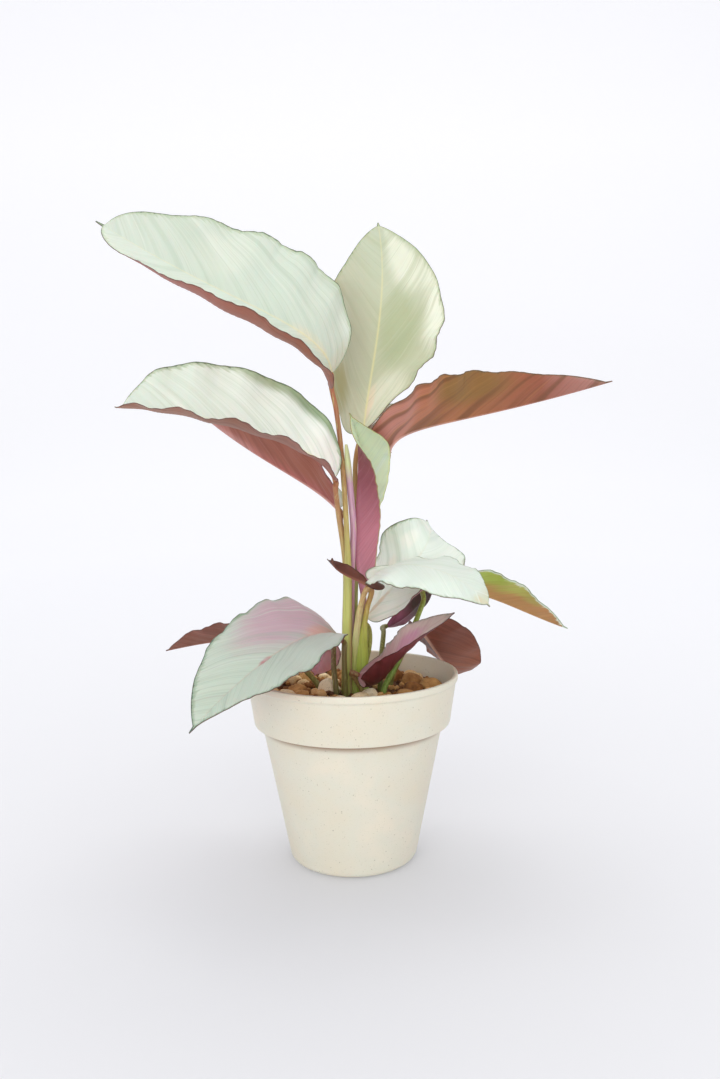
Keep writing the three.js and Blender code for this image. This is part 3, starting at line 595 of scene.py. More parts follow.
# %% The tall leaves
LEAVES = {
    "upper_left": {
        "midrib": [(-8, 3, 228), (-9, -17, 247), (-48, -19, 253), (-107, -14, 291)],
        "looks": [(17, 37), (28, 44)], "half_widths": (37, 37.5), "rise": (-2, 24), "curl": (70, -6),
        "outline": [(0.55, 0.62), (0.55, 0.45)], "waves": [(0.8, 6, 0.1), (1.5, 5.5, 0.74)], "tail": 4,
        "face": like(
            SILVER, along=[(0.0, "#D6D1BF"), (0.12, "#CCD4C6"), (0.5, "#CBD8CA"), (1.0, "#CAD5C8")],
            patches=[(0.12, 0.9, 0.16, 0.3, "#DEE5DB", 0.6), (0.25, 0.0, 0.2, 0.16, "#DFD8BF", 0.6),
                     (0.72, 0.5, 0.12, 0.5, "#DDE3D6", 0.5)],
        ),
        "back": like(WINE, along=[(0.0, "#9A5C4A"), (0.35, "#94563C"), (0.6, "#A0604F"), (1.0, "#A8685E")]),
        "slots": ("silver_leaf", "red_stalk"),
        "stalk": {"slot": (-1, -1), "shoot_top": 135,
                  "via": [(-1.7, -2.5, 157), (-2.5, 0.5, 174), (-4, 4, 195), (-6, 4, 212), (-8, 5, 222)],
                  "sheath": [(74, 0.3, 1.7, 1.5), (80, 0.3, 2.5, 1.6), (98, 0.5, 2.4, 1.6),
                             (126, 0.4, 2.0, 1.5), (150, 0, 1.25, 1.25)],
                  "clasp": "#AE8C68"},
        "stalk_colours": [(0.0, "#C2C86C"), (0.3, "#C6CC74"), (0.5, "#BAAE66"), (0.75, "#AC7A54"),
                          (1.0, "#AC6248")],
    },
    "upright": {
        "midrib": [(7, 9, 202), (11, 30, 235), (21, 18, 265), (16, 36, 305)],
        "looks": [(-44, 6), (10, 9)], "half_widths": (34.5, 34.5), "rise": (-11, 2), "curl": (-24, 22),
        "outline": [(0.55, 0.7)] * 2, "waves": [(1.4, 4, 0.14), (1.4, 5, 0.93)], "tail": 2,
        "face": like(
            SILVER, along=[(0.0, "#D2D1B0"), (0.25, "#BFC4A6"), (0.6, "#BFC6AA"), (1.0, "#BCC7AF")],
            streaks=[(7.0, "#ABB692", 0.48, 0.72, 0.4), (3.5, "#D4D8C0", 0.54, 0.76, 0.25),
                     (1.0, "#9FA986", 0.5, 0.78, 0.36)],
            rib=("#E2DCA2", 0.85), margin=[("#A6B78A", 2.2, 0.5), ("#5E7250", 0.7, 0.85)],
            # The first two patches are painted shadow that the upper left leaf casts on this one
            patches=[(0.27, -0.85, 0.16, 0.5, "#A39F68", 0.85), (0.5, 0.32, 0.27, 0.46, "#ACB690", 0.9),
                     (0.14, 0.45, 0.2, 0.6, "#E2E2CC", 0.75), (0.84, 0.5, 0.2, 0.5, "#E2E7D4", 0.85),
                     (0.6, 1.0, 0.3, 0.42, "#EBEEDD", 0.9), (0.62, -0.8, 0.2, 0.35, "#C5CBB2", 0.6),
                     (0.12, 0.08, 0.14, 0.14, "#E8D2B4", 0.6)],
        ),
        "back": WINE, "slots": ("silver_leaf", "green_stalk"),
        "stalk": {"slot": (0, 1), "shoot_top": 120,
                  "via": [(2.5, 5, 135), (3, 8, 152), (2.8, 10, 171), (3, 10.5, 187), (4.5, 10, 195)]},
        "stalk_colours": [(0.0, "#A0AC58"), (0.6, "#B4BC78"), (0.9, "#B98A58"), (1.0, "#C99A78")],
    },
    "right": {
        "midrib": [(19, 12, 191), (22, 11, 206), (51, 38, 204), (128, 26, 225)],
        "looks": [(171, 58), (177, 50)], "half_widths": (28.5, 30), "rise": (56, 5), "curl": (20, 12),
        "outline": [(0.6, 0.75)] * 2, "waves": [(1.4, 6, 0.1), (1.4, 6.5, 0.2)], "tail": 3,
        "face": SILVER,
        # Painted light: the copper and olive of this back are partly light that shines through the blade,
        # and its broad dark streaks are partly painted shade of its folds
        "back": like(
            WINE, along=[(0.0, "#A8614A"), (0.15, "#C08272"), (0.35, "#B27254"), (0.6, "#A4683E"),
                         (0.85, "#985840"), (1.0, "#C09A92")],
            streaks=[(9.0, "#6C4426", 0.48, 0.66, 0.65), (4.5, "#BC8850", 0.56, 0.75, 0.3),
                     (1.1, "#70422C", 0.5, 0.76, 0.42)],
            rib=("#E0B4AA", 0.8), margin=[("#7A6A44", 1.2, 0.5), ("#4E3A28", 0.5, 0.75)],
            patches=[(0.6, 0.75, 0.24, 0.6, "#86662F", 0.85), (0.2, 0.6, 0.18, 0.7, "#BC8274", 0.6),
                     (0.93, 0.3, 0.1, 0.9, "#9C5E50", 0.5), (0.02, 0.0, 0.07, 0.9, "#7E4434", 0.6)],
        ),
        "slots": ("wine_leaf", "red_stalk"),
        "stalk": {"slot": (1, 1), "shoot_top": 112,
                  "via": [(6, 5, 126), (8, 13.5, 142), (10, 18, 159), (13.5, 18, 173), (17, 15, 184)]},
        "stalk_colours": [(0.0, "#98A656"), (0.6, "#A89A5A"), (1.0, "#B0745C")],
    },
    "middle_left": {
        "midrib": [(-7, -4, 179), (-14, -16, 198), (-79, -31, 211), (-99, -23, 211)],
        "looks": [(22, 50), (22, 55)], "half_widths": (28, 28), "rise": (22, 22), "curl": (26, 25),
        "outline": [(0.6, 0.55)] * 2, "waves": [(1.3, 6, 0.1), (1.5, 6, 0.11)], "tail": 3,
        # Painted light: this face is paler than its own silver, to make up for the shade of the upper left
        # leaf above it
        "face": like(
            SILVER, along=[(0.0, "#F6F6EE"), (0.12, "#F0F6EE"), (0.5, "#EAF3EA"), (0.8, "#DAE6DA"),
                           (1.0, "#D2DED3")],
            streaks=[(7.0, "#CCDCCC", 0.5, 0.74, 0.35), (6.5, "#FAFBF4", 0.56, 0.78, 0.45),
                     (1.0, "#BACEBA", 0.48, 0.76, 0.4)],
            margin=[("#9FB58E", 2.8, 0.65), ("#46603F", 0.8, 0.9)],
            patches=[(0.1, 0.25, 0.2, 0.9, "#FBF8F0", 0.85), (0.24, 1.0, 0.26, 0.3, "#7C9B6E", 0.9),
                     (0.45, 1.0, 0.14, 0.25, "#93AC80", 0.7)],
        ),
        "back": like(WINE, along=[(0.0, "#93503F"), (0.5, "#8E5A40"), (1.0, "#A06A4A")]),
        "slots": ("silver_leaf", "red_stalk"),
        "stalk": {"slot": (-1.5, 0), "shoot_top": 138, "via": [(-5.5, -1.5, 163.5), (-6.5, -5, 175)]},
        "stalk_colours": [(0.0, "#B4B068"), (0.5, "#BCB26C"), (0.8, "#B48E62"), (1.0, "#A86446")],
    },
    "under_left": {
        "midrib": [(-6, 6, 165), (-18, 14, 178), (-43, 18, 187), (-71, 25, 210)],
        "looks": [(187, 59), (185, 55)], "half_widths": (21.5, 21.5), "rise": (10, 45), "curl": (0, 7),
        "outline": [(0.55, 0.7)] * 2, "waves": [(1, 4, 0.1), (1, 4, 0.6)], "tail": 2,
        "face": SILVER,
        "back": like(
            WINE, along=[(0.0, "#9C5450"), (0.5, "#B4665F"), (1.0, "#C68C84")], rib=("#DDB0A6", 0.85),
            patches=[(0.5, -0.6, 0.7, 0.7, "#975A42", 0.8), (0.85, 0.1, 0.25, 0.4, "#D0A29C", 0.6)],
        ),
        "slots": ("wine_leaf", "red_stalk"),
        "stalk": {"slot": (-1, 1), "shoot_top": 118, "via": [(-2.6, 4.5, 146), (-4.5, 5.5, 158.5)]},
        "stalk_colours": [(0.0, "#98964E"), (0.7, "#A59A58"), (1.0, "#A9705A")],
    },
    "rolled_young": {
        "midrib": [(5.5, 0.5, 124), (-2, 6, 155), (10, 8, 188), (1, -10, 207)],
        "looks": [(112, -41), (105, -62)], "half_widths": (12.5, 16.5), "rise": (47, 64), "curl": (-15, 0),
        "outline": [(0.52, 0.6), (1.2, 0.75)], "waves": [(0.5, 3, 0.1), (0.5, 3, 0.6)], "tail": 2,
        "face": like(SILVER, along=[(0.0, "#C6D0A8"), (1.0, "#CDDABC")],
                     margin=[("#D6DCA0", 1.3, 0.7), ("#7E9A60", 0.4, 0.6)]),
        "back": like(WINE, along=[(0.0, "#C98A9C"), (0.3, "#BC7888"), (0.6, "#90545E"), (1.0, "#80464A")],
                     streaks=[(5.0, "#A2646E", 0.5, 0.72, 0.4), (1.4, "#D4A0B0", 0.56, 0.78, 0.35),
                              (0.9, "#80424C", 0.48, 0.76, 0.5)],
                     rib=("#A86074", 0.5), margin=[("#9AA060", 0.6, 0.6)]),
        "slots": ("pink_leaf", "green_stalk"),
        "stalk": {"slot": (0.5, 0), "shoot_top": 104, "via": [(5.2, 0.2, 117)]},
        "stalk_colours": [(0.0, "#9CB04C"), (0.6, "#A4B458"), (1.0, "#C98A98")],
    },
}
print("tall leaves:", len(LEAVES))

# %% [markdown]
# The next leaves stand lower. The small curled one, the front one and the plum one are in front of the
# shoot, and the other two spread to the right. The feet of their stalks are a fresher green.

# %% The leaves in front of the shoot and to its right
LEAVES.update({
    "curled_small": {
        "midrib": [(7, -12, 131), (0, -17, 135), (-8, -25, 138.5), (-8, -28, 143)],
        "looks": [(20, 75), (20, 70)], "half_widths": (5, 8), "rise": (50, 5), "curl": (10, 15),
        "outline": [(0.6, 0.6)] * 2, "waves": [(0.4, 2, 0.1), (0.4, 2, 0.6)], "tail": 1.5,
        "face": like(SILVER, along=[(0.0, "#E3EBE0"), (1.0, "#D3DDCC")]),
        "back": like(WINE, along=[(0.0, "#845448"), (0.5, "#6E4238"), (1.0, "#4A2C26")]),
        "slots": ("silver_leaf", "red_stalk"),
        "stalk": {"slot": (0, -1), "shoot_top": 95, "via": [(4.5, -6, 119), (6.5, -10, 127)],
                  "sheath": [(96, 0, 1.35, 1.3), (102, 0.2, 1.7, 1.4), (116, 0.3, 1.5, 1.4),
                             (123, 0, 1.2, 1.2)]},
        "stalk_colours": [(0.0, "#B0C85C"), (0.4, "#C0CC78"), (0.6, "#D2CC96"), (0.85, "#D6B884"),
                          (1.0, "#A87850")],
    },
    "front": {
        "midrib": [(10, -7, 131), (14, -10, 144), (43, -37, 144), (58, -40, 125)],
        "looks": [(34, 55), (29, 57)], "half_widths": (22, 21), "rise": (-5, 5), "curl": (-8, -22),
        "outline": [(0.74, 0.66), (0.62, 0.66)], "waves": [(1, 4, 0.1), (1, 4, 0.6)], "tail": 1.5,
        "face": like(
            SILVER, along=[(0.0, "#F2E8DF"), (0.12, "#EEF5EB"), (0.5, "#DFEBE2"), (0.9, "#D8E4DA"),
                           (1.0, "#D2CCA8")],
            streaks=[(7.0, "#CFDFD0", 0.48, 0.72, 0.45), (3.0, "#F4F8F2", 0.55, 0.75, 0.5),
                     (0.9, "#BDD0C0", 0.5, 0.78, 0.35)],
            rib=("#D9E0C4", 0.5), margin=[("#B0C4AA", 1.6, 0.5), ("#64785F", 0.6, 0.85)],
            patches=[(1.0, 0.3, 0.1, 0.7, "#D8CCA4", 0.8)],
        ),
        "back": like(WINE, along=[(0.0, "#7A4A38"), (1.0, "#8A5142")]),
        "slots": ("silver_leaf", "red_stalk"),
        "stalk": {"slot": (1, -1), "shoot_top": 98, "via": [(7.5, -5, 118.5), (9.5, -6.5, 126)],
                  "sheath": [(74, -0.3, 1.8, 1.5), (80, -0.5, 3.2, 1.7), (96, -0.4, 2.9, 1.7),
                             (112, 0, 1.3, 1.25)]},
        "stalk_colours": [(0.0, "#A8C84A"), (0.3, "#B4D058"), (0.6, "#BAC45C"), (0.85, "#C09A5C"),
                          (1.0, "#B07C50")],
    },
    "behind_front": {
        "midrib": [(7, 9, 112), (19, 9, 127), (44, 11, 146), (39, 27, 157)],
        "looks": [(45, 90), (67, 70)], "half_widths": (24, 26), "rise": (16, -45), "curl": (4, 77),
        "outline": [(0.55, 0.6)] * 2, "waves": [(1.1, 3.5, 0.1), (1.4, 3, 0.09)], "tail": 1.5,
        # Painted light and shade: the face is paler toward the base, which lies in shade, and darker toward
        # the tip, which gets more light
        "face": like(
            SILVER, along=[(0.0, "#FFFAF2"), (0.25, "#FBFFFA"), (0.6, "#EEF8F0"), (1.0, "#DFEADF")],
            streaks=[(6.0, "#CBDDCF", 0.48, 0.72, 0.45), (3.5, "#F0F6F0", 0.55, 0.75, 0.4),
                     (0.9, "#BACEBF", 0.5, 0.78, 0.36)],
            rib=("#E2E0C6", 0.45), margin=[("#9CB592", 1.8, 0.6), ("#587454", 0.7, 0.88)],
            patches=[(0.72, -0.42, 0.16, 0.25, "#F6F7EE", 0.85), (0.44, -0.5, 0.12, 0.2, "#F6F5EA", 0.85),
                     (0.13, 0.0, 0.17, 0.1, "#EBC4B0", 0.7), (0.5, 0.6, 0.25, 0.5, "#E6EEE6", 0.6)],
        ),
        "back": like(WINE, along=[(0.0, "#A0606A"), (1.0, "#8A5142")]),
        "slots": ("silver_leaf", "green_stalk"),
        "stalk": {"slot": (1.5, 0), "shoot_top": 90,
                  "via": [(8, 1, 97.5), (8.8, 4.5, 103), (8.2, 7.5, 107.5)]},
        "stalk_colours": [(0.0, "#8FA83E"), (1.0, "#A8A05A")],
    },
    "low_right": {
        "midrib": [(38, 20, 124), (62, 20, 127), (80, 20, 114), (103, 9, 106)],
        "looks": [(171, 54), (171, 54)], "half_widths": (17.5, 17.5), "rise": (40, 12), "curl": (10, 0),
        "outline": [(0.55, 0.7)] * 2, "waves": [(0.9, 4, 0.1), (0.9, 4, 0.6)], "tail": 2,
        "face": SILVER,
        # Painted light: the olive green patches are light that shines through the blade, and so partly is
        # the copper
        "back": like(
            WINE, along=[(0.0, "#B4AC58"), (0.4, "#BA8E56"), (1.0, "#B08252")],
            streaks=[(6.0, "#96703E", 0.5, 0.72, 0.3), (3.0, "#C9A070", 0.55, 0.76, 0.3),
                     (1.0, "#8A6A40", 0.5, 0.78, 0.25)],
            rib=("#C49A78", 0.5), margin=[("#D3E2D0", 1.9, 0.95), ("#5E7A4E", 0.45, 0.8)],
            patches=[(0.42, 0.95, 0.34, 0.8, "#A4BC52", 0.95), (0.68, 0.85, 0.2, 0.5, "#AAB45A", 0.7)],
        ),
        "slots": ("wine_leaf", "green_stalk"),
        "stalk": {"foot": (15, -5), "via": [(20, -1, 89), (24.5, 3, 96), (28.5, 7, 104),
                                            (33, 11, 113.5), (35.5, 14, 119.5)]},
        "stalk_colours": [(0.0, "#8FB05C"), (0.3, "#84A446"), (1.0, "#93A046")],
    },
    "plum": {
        "midrib": [(3, -11.5, 88.5), (20, -10, 80), (14, -27, 103), (44, -29, 119)],
        "looks": [(2, 54), (2, 73)], "half_widths": (17, 17), "rise": (4, -5), "curl": (17, 100),
        "outline": [(0.55, 0.75), (0.55, 0.75)], "waves": [(0.8, 3, 0.1), (0.8, 3, 0.6)], "tail": 1.5,
        "face": like(
            SILVER, along=[(0.0, "#A98185"), (0.5, "#C8A4A8"), (1.0, "#D4CAC0")],
            streaks=[(5.0, "#B08A94", 0.5, 0.72, 0.4), (3.0, "#E4D0D4", 0.55, 0.76, 0.5),
                     (0.9, "#96707C", 0.5, 0.78, 0.35)],
            rib=("#B06A78", 0.7), margin=[("#9AA092", 1.8, 0.6), ("#5A2C34", 0.5, 0.8)],
            patches=[(0.68, -0.25, 0.24, 0.55, "#C888A8", 0.8)],
        ),
        "back": like(
            WINE, along=[(0.0, "#4E1F1C"), (0.5, "#5E2426"), (1.0, "#7A3A40")],
            streaks=[(5.0, "#3E1614", 0.5, 0.72, 0.4), (3.0, "#7C3C40", 0.55, 0.76, 0.3),
                     (1.0, "#3A1616", 0.5, 0.78, 0.3)],
            rib=("#84444A", 0.5), margin=[("#34130F", 0.6, 0.7)],
        ),
        "slots": ("pink_leaf", "green_stalk"),
        "stalk": {"foot": (5, -9.5), "via": [(2.8, -9.8, 84.5), (-0.4, -11.3, 90)]},
        "stalk_colours": [(0.0, "#8FA04A"), (1.0, "#8A5A48")],
    },
})
print("leaves so far:", len(LEAVES))

# %% [markdown]
# The last ones stay near the rim of the pot. The brown one and the large lower left one hang over it, and
# the small pink one hides behind the lower left one.

# %% The leaves at the rim
LEAVES.update({
    "rim": {
        "midrib": [(32, 14, 106.5), (38, 20, 100.5), (51, 24, 75), (58, 43, 77)],
        "looks": [(160, 39), (154, 35)], "half_widths": (19.5, 20.5), "rise": (41, 22), "curl": (0, 0),
        "outline": [(0.55, 0.65)] * 2, "waves": [(0.9, 4, 0.1), (0.9, 4, 0.6)], "tail": 1.5,
        "face": SILVER,
        "back": like(
            WINE, along=[(0.0, "#8A4E40"), (0.4, "#764434"), (1.0, "#925A40")],
            streaks=[(4.0, "#5E3224", 0.48, 0.7, 0.45), (2.4, "#A06A58", 0.56, 0.76, 0.25),
                     (0.9, "#482418", 0.46, 0.76, 0.5)],
            rib=("#DDB09C", 0.95),
        ),
        "slots": ("wine_leaf", "red_stalk"),
        "stalk": {"foot": (19, 12), "via": [(24, 14, 91), (28.5, 14.5, 99.5)]},
        "stalk_colours": [(0.0, "#7E8A40"), (1.0, "#8A5A48")],
    },
    "dark_back": {
        "midrib": [(18, 25, 105), (28, 28, 108), (34, 33, 114), (41, 29, 124)],
        "looks": [(181, 38), (180, 37)], "half_widths": (7, 7), "rise": (13, 6), "curl": (11, 3),
        "outline": [(0.55, 0.7)] * 2, "waves": [(0.4, 2, 0.1), (0.4, 2, 0.6)], "tail": 1.5,
        "face": SILVER,
        "back": like(
            WINE, along=[(0.0, "#B87098"), (0.3, "#9C5A78"), (0.55, "#42261E"), (1.0, "#38221A")],
            streaks=[(4.0, "#6A3A44", 0.5, 0.72, 0.3), (2.0, "#8A5060", 0.58, 0.78, 0.3),
                     (1.0, "#2E1A18", 0.5, 0.78, 0.3)],
            rib=("#5A3438", 0.5),
        ),
        "slots": ("wine_leaf", "green_stalk"),
        "stalk": {"foot": (13.5, 1), "via": [(14.5, 9, 93.5), (16, 20, 103)]},
        "stalk_colours": [(0.0, "#6E7A3A"), (1.0, "#7E7A44")],
    },
    "lower_left": {
        "midrib": [(-4, -9, 104), (-13, -27, 121), (-45, -30, 97), (-64, -60, 79)],
        "looks": [(-21, 57), (-20, 35)], "half_widths": (32, 33.5), "rise": (27, 19), "curl": (0, -38),
        "outline": [(1.4, 1.25), (0.62, 0.9)], "waves": [(1, 5, 0.1), (0.8, 6.5, 0.7)], "tail": 3,
        "face": like(
            SILVER, along=[(0.0, "#C2B8B2"), (0.35, "#B4BEB4"), (0.7, "#BCCABD"), (1.0, "#C4D4C4")],
            streaks=[(6.0, "#9CAEA0", 0.48, 0.72, 0.4), (3.5, "#CCD4CC", 0.55, 0.75, 0.4),
                     (0.9, "#90A294", 0.48, 0.76, 0.42)],
            rib=("#CFA89C", 0.5), margin=[("#86A084", 2.8, 0.65), ("#46594A", 0.8, 0.92)],
            patches=[(0.34, 0.5, 0.4, 0.72, "#BE98AA", 0.82), (0.1, 0.5, 0.16, 0.7, "#BE9EA6", 0.7),
                     (0.05, 0.0, 0.14, 0.8, "#C9B2AE", 0.5), (0.6, 0.0, 0.05, 0.06, "#AC7078", 0.9),
                     (0.22, 0.02, 0.17, 0.2, "#D09A8E", 0.65), (0.52, 1.0, 0.07, 0.12, "#64865A", 0.9)],
        ),
        "back": WINE, "slots": ("silver_leaf", "red_stalk"),
        "stalk": {"foot": (-3, -9), "via": [(-3.3, -8.2, 91), (-3.4, -8, 99)]},
        "stalk_colours": [(0.0, "#6E7438"), (1.0, "#7E6E42")],
    },
    "lower_back": {
        "midrib": [(-27, 18, 94), (-49, 19, 104), (-71, 30, 98), (-92, 26, 94)],
        "looks": [(180, 60), (179, 57)], "half_widths": (15.5, 15.5), "rise": (10, 39), "curl": (0, 10),
        "outline": [(0.55, 0.7)] * 2, "waves": [(0.8, 4, 0.1), (0.8, 4, 0.6)], "tail": 1.5,
        "face": SILVER,
        "back": like(WINE, along=[(0.0, "#74493A"), (1.0, "#825240")]),
        "slots": ("wine_leaf", "green_stalk"),
        "stalk": {"foot": (-16, 3), "via": [(-19, 4, 84), (-23, 8, 87.5), (-25, 14, 90.5)]},
        "stalk_colours": [(0.0, "#7E8A44"), (1.0, "#8A7648")],
    },
    "small_pink": {
        "midrib": [(-11, 9, 101), (-13, 10, 95), (-16, 11, 89), (-18, 12, 84)],
        "looks": [(180, 12), (180, 12)], "half_widths": (10, 9), "rise": (10, 10), "curl": (5, 5),
        "outline": [(0.55, 0.7)] * 2, "waves": [(0.4, 2, 0.1), (0.4, 2, 0.6)], "tail": 1,
        "face": SILVER,
        # Painted light: this back is a paler pink than its own colour, to make up for the shade behind the
        # lower left leaf
        "back": like(
            WINE, along=[(0.0, "#FCCCE4"), (1.0, "#F6BCD8")],
            streaks=[(2.4, "#F8D0E8", 0.48, 0.68, 0.65), (1.6, "#F4C8E0", 0.56, 0.76, 0.4),
                     (0.9, "#D48AA8", 0.5, 0.76, 0.35)],
            rib=("#D8A0C0", 0.5),
        ),
        "slots": ("pink_leaf", "green_stalk"),
        "stalk": {"foot": (-7.5, -5), "via": [(-8.5, -2, 90), (-8.6, 4, 99.5), (-9.4, 7.2, 103.5)]},
        "stalk_colours": [(0.0, "#6E7438"), (1.0, "#8A6A58")],
    },
})
SEED_STEP = 1.7
for number, leaf in enumerate(LEAVES.values()):
    leaf["seed"] = SEED_STEP * number
print("leaves:", len(LEAVES))

# %% [markdown]
# ## Build the blades
#
# A blade gets about one row for each 0.8 mm of its length, closer at the base and the tip, where the
# outline turns fast, and columns that lie closer at the midrib, where the rib needs them.

# %% Rows and columns of a blade
ROW_STEP = 0.8
ROW_GATHER = 0.6
COLUMN_STEP = 1.15
COLUMN_GATHER = 0.65
COLUMN_POWER = 1.6
TAIL_ROWS = 6


def blade_rows(leaf):
    """Places along the blade, from 0 at its base to 1 at its tip and 2 at the end of its tail."""
    a, b, c, d = np.array(leaf["midrib"], float)
    length = np.linalg.norm(b - a) + np.linalg.norm(c - b) + np.linalg.norm(d - c)
    even = np.linspace(0, 1, int(length / ROW_STEP))
    rows = between(even, (1 - np.cos(math.pi * even)) / 2, ROW_GATHER)
    return np.concatenate([rows, 1 + np.linspace(0, 1, TAIL_ROWS + 1)[1:]])


def blade_columns(leaf):
    """Places across the blade, from -1 at its left margin to 1 at its right one."""
    even = np.linspace(0, 1, int(max(leaf["half_widths"]) / COLUMN_STEP))
    half = between(even, even ** COLUMN_POWER, COLUMN_GATHER)
    return np.concatenate([-half[:0:-1], half])


print("rows of the upright leaf:", len(blade_rows(LEAVES["upright"])))

# %% Make each blade
BACK_SEED = 0.5
faces_made = 0
for name, leaf in LEAVES.items():
    upper, lower, fields = blade_faces(leaf, blade_rows(leaf), blade_columns(leaf))
    mesh = closed_sheet(f"blade_{name}_skin", upper, lower, fields)
    skins = [
        leaf_skin(f"silver_leaf_face_{name}", leaf["face"], leaf["seed"]),
        leaf_skin(f"wine_leaf_back_{name}", leaf["back"], leaf["seed"] + BACK_SEED),
    ]
    place_piece(f"leaf_{name}", mesh, [f"blade_{name}"], skins)
    faces_made += len(mesh.polygons)
print("blade faces:", faces_made)

# %% [markdown]
# ## The stalks
#
# A leaf stalk is a fleshy rod. It could be a curve with a bevel, but a swept ring of points allows what
# the real one has: a sheath that widens toward the foot and clasps its neighbours, and a short swollen
# joint under the blade, where the leaf turns to the light. The route is the one in the solid model.

# %% The route of a stalk
SOIL_TOP = 78.0
HOLE_DEPTH = 12.5
FIT_GAP = 0.45
STRAIGHT_BELOW_TOP = 4
STRAIGHT_ABOVE_TOP = 2
SPLINE_STEPS = 40
SHOOT_FOOT = np.array([1.1, 0.0])
SHOOT_SPACING = 3.2
SHOOT_LEAN = 0.02


def shoot_point(slot, height):
    """Where a slot of the shoot is at a height."""
    lean = SHOOT_LEAN * max(height - SOIL_TOP, 0)
    return [
        SHOOT_FOOT[0] + lean + slot[0] * SHOOT_SPACING,
        SHOOT_FOOT[1] + slot[1] * SHOOT_SPACING * math.sqrt(0.75),
        height,
    ]


def through_points(points, samples):
    """A smooth curve through points, a centripetal Catmull-Rom spline, with even steps along it."""
    p = np.array(points, float)
    p = np.vstack([2 * p[0] - p[1], p, 2 * p[-1] - p[-2]])
    curve = []
    for p0, p1, p2, p3 in zip(p, p[1:], p[2:], p[3:]):
        d0, d1, d2 = (np.linalg.norm(b - a) ** 0.5 for a, b in ((p0, p1), (p1, p2), (p2, p3)))
        m1 = d1 * ((p1 - p0) / d0 - (p2 - p0) / (d0 + d1) + (p2 - p1) / d1)
        m2 = d1 * ((p2 - p1) / d1 - (p3 - p1) / (d1 + d2) + (p3 - p2) / d2)
        w = np.linspace(0, 1, SPLINE_STEPS, endpoint=False)[:, None]
        square, cube = 3 * (p2 - p1) - 2 * m1 - m2, 2 * (p1 - p2) + m1 + m2
        curve.append(p1 + m1 * w + square * w ** 2 + cube * w ** 3)
    curve = np.vstack([*curve, p[-2:-1]])
    run = np.concatenate([[0], np.cumsum(np.linalg.norm(np.diff(curve, axis=0), axis=1))])
    even = np.linspace(0, run[-1], samples)
    return np.stack([np.interp(even, run, curve[:, axis]) for axis in range(3)], -1), run[-1]


def stalk_points(stalk, ends):
    """The points that a stalk runs through, from the bottom of its hole to its ends at the blade."""
    bottom = SOIL_TOP - HOLE_DEPTH + FIT_GAP
    in_hole = [bottom, SOIL_TOP - STRAIGHT_BELOW_TOP, SOIL_TOP + STRAIGHT_ABOVE_TOP]
    if "slot" in stalk:
        top = stalk["shoot_top"]
        upright = [shoot_point(stalk["slot"], z) for z in (*in_hole, (SOIL_TOP + top) / 2, top)]
    else:
        upright = [[*stalk["foot"], z] for z in in_hole]
    return [*upright, *stalk["via"], *ends]


def on_midrib_line(leaf, *steps):
    """Points on the line that the midrib starts on, so many mm from the blade's base to the tip."""
    place, tip_ward, _, _ = midrib_frame(leaf, np.array([0.0]))
    return [place[0] + tip_ward[0] * step for step in steps]


print("middle of the shoot at the soil in mm:", *SHOOT_FOOT)

# %% Sweep a ring along the route
STALK_SIDES = 20
STALK_FLUTES = 5
FLUTE_DEPTH = 0.035
FLUTE_START = 1.0
STALK_SHARP_ANGLE = 60
# A hair off the Y axis, so that no stretch of a route is quite parallel to it
BACKWARD = np.array([0.0, 1.0, 0.001])


def swept_rod(name, route, radii, sheath=()):
    """A closed rod with a ring for each point of a route. A row of the sheath is the height where it
    is measured, and there how far the ring moves to the side, and its half width and half depth."""
    ahead = unit(np.gradient(route, axis=0))
    side = unit(np.cross(ahead, BACKWARD))
    front = np.cross(side, ahead)
    angle = np.linspace(0, 2 * math.pi, STALK_SIDES, endpoint=False)
    flutes = 1 + FLUTE_DEPTH * np.cos(STALK_FLUTES * angle + FLUTE_START)
    shift, wide, deep = np.zeros(len(route)), radii, radii
    if sheath:
        heights, shifts, widths, depths = np.array(sheath, float).T
        within = (route[:, 2] > heights[0]) & (route[:, 2] < heights[-1])
        shift = np.where(within, np.interp(route[:, 2], heights, shifts), 0)
        wide = np.where(within, np.interp(route[:, 2], heights, widths), radii)
        deep = np.where(within, np.interp(route[:, 2], heights, depths), radii)
    across = shift[:, None] + wide[:, None] * np.cos(angle) * flutes
    deep = deep[:, None] * np.sin(angle) * flutes
    rings = route[:, None, :] + side[:, None, :] * across[..., None] + front[:, None, :] * deep[..., None]
    count = len(route)
    vertices = np.concatenate([rings.reshape(-1, 3), route[:1], route[-1:]]) * MM
    place = np.arange(count * STALK_SIDES).reshape(count, STALK_SIDES)
    beside = np.roll(place, -1, axis=1)
    walls = np.stack([place[:-1], place[1:], beside[1:], beside[:-1]], -1).reshape(-1, 4).tolist()
    first, last = count * STALK_SIDES, count * STALK_SIDES + 1
    caps = [[first, int(a), int(b)] for a, b in zip(place[0], beside[0])]
    caps += [[last, int(b), int(a)] for a, b in zip(place[-1], beside[-1])]
    mesh = bpy.data.meshes.new(name)
    mesh.from_pydata(vertices.tolist(), [], walls + caps)
    height = np.concatenate([np.repeat(np.linspace(0, 1, count), STALK_SIDES), [0, 1]])
    mesh.attributes.new("height", "FLOAT", "POINT").data.foreach_set("value", height)
    side_value = np.concatenate([np.tile(np.cos(angle), count), [0, 0]])
    mesh.attributes.new("side", "FLOAT", "POINT").data.foreach_set("value", side_value)
    mesh.shade_smooth()
    mesh.set_sharp_from_angle(angle=math.radians(STALK_SHARP_ANGLE))
    return mesh


print("sides and flutes of a stalk:", STALK_SIDES, STALK_FLUTES)

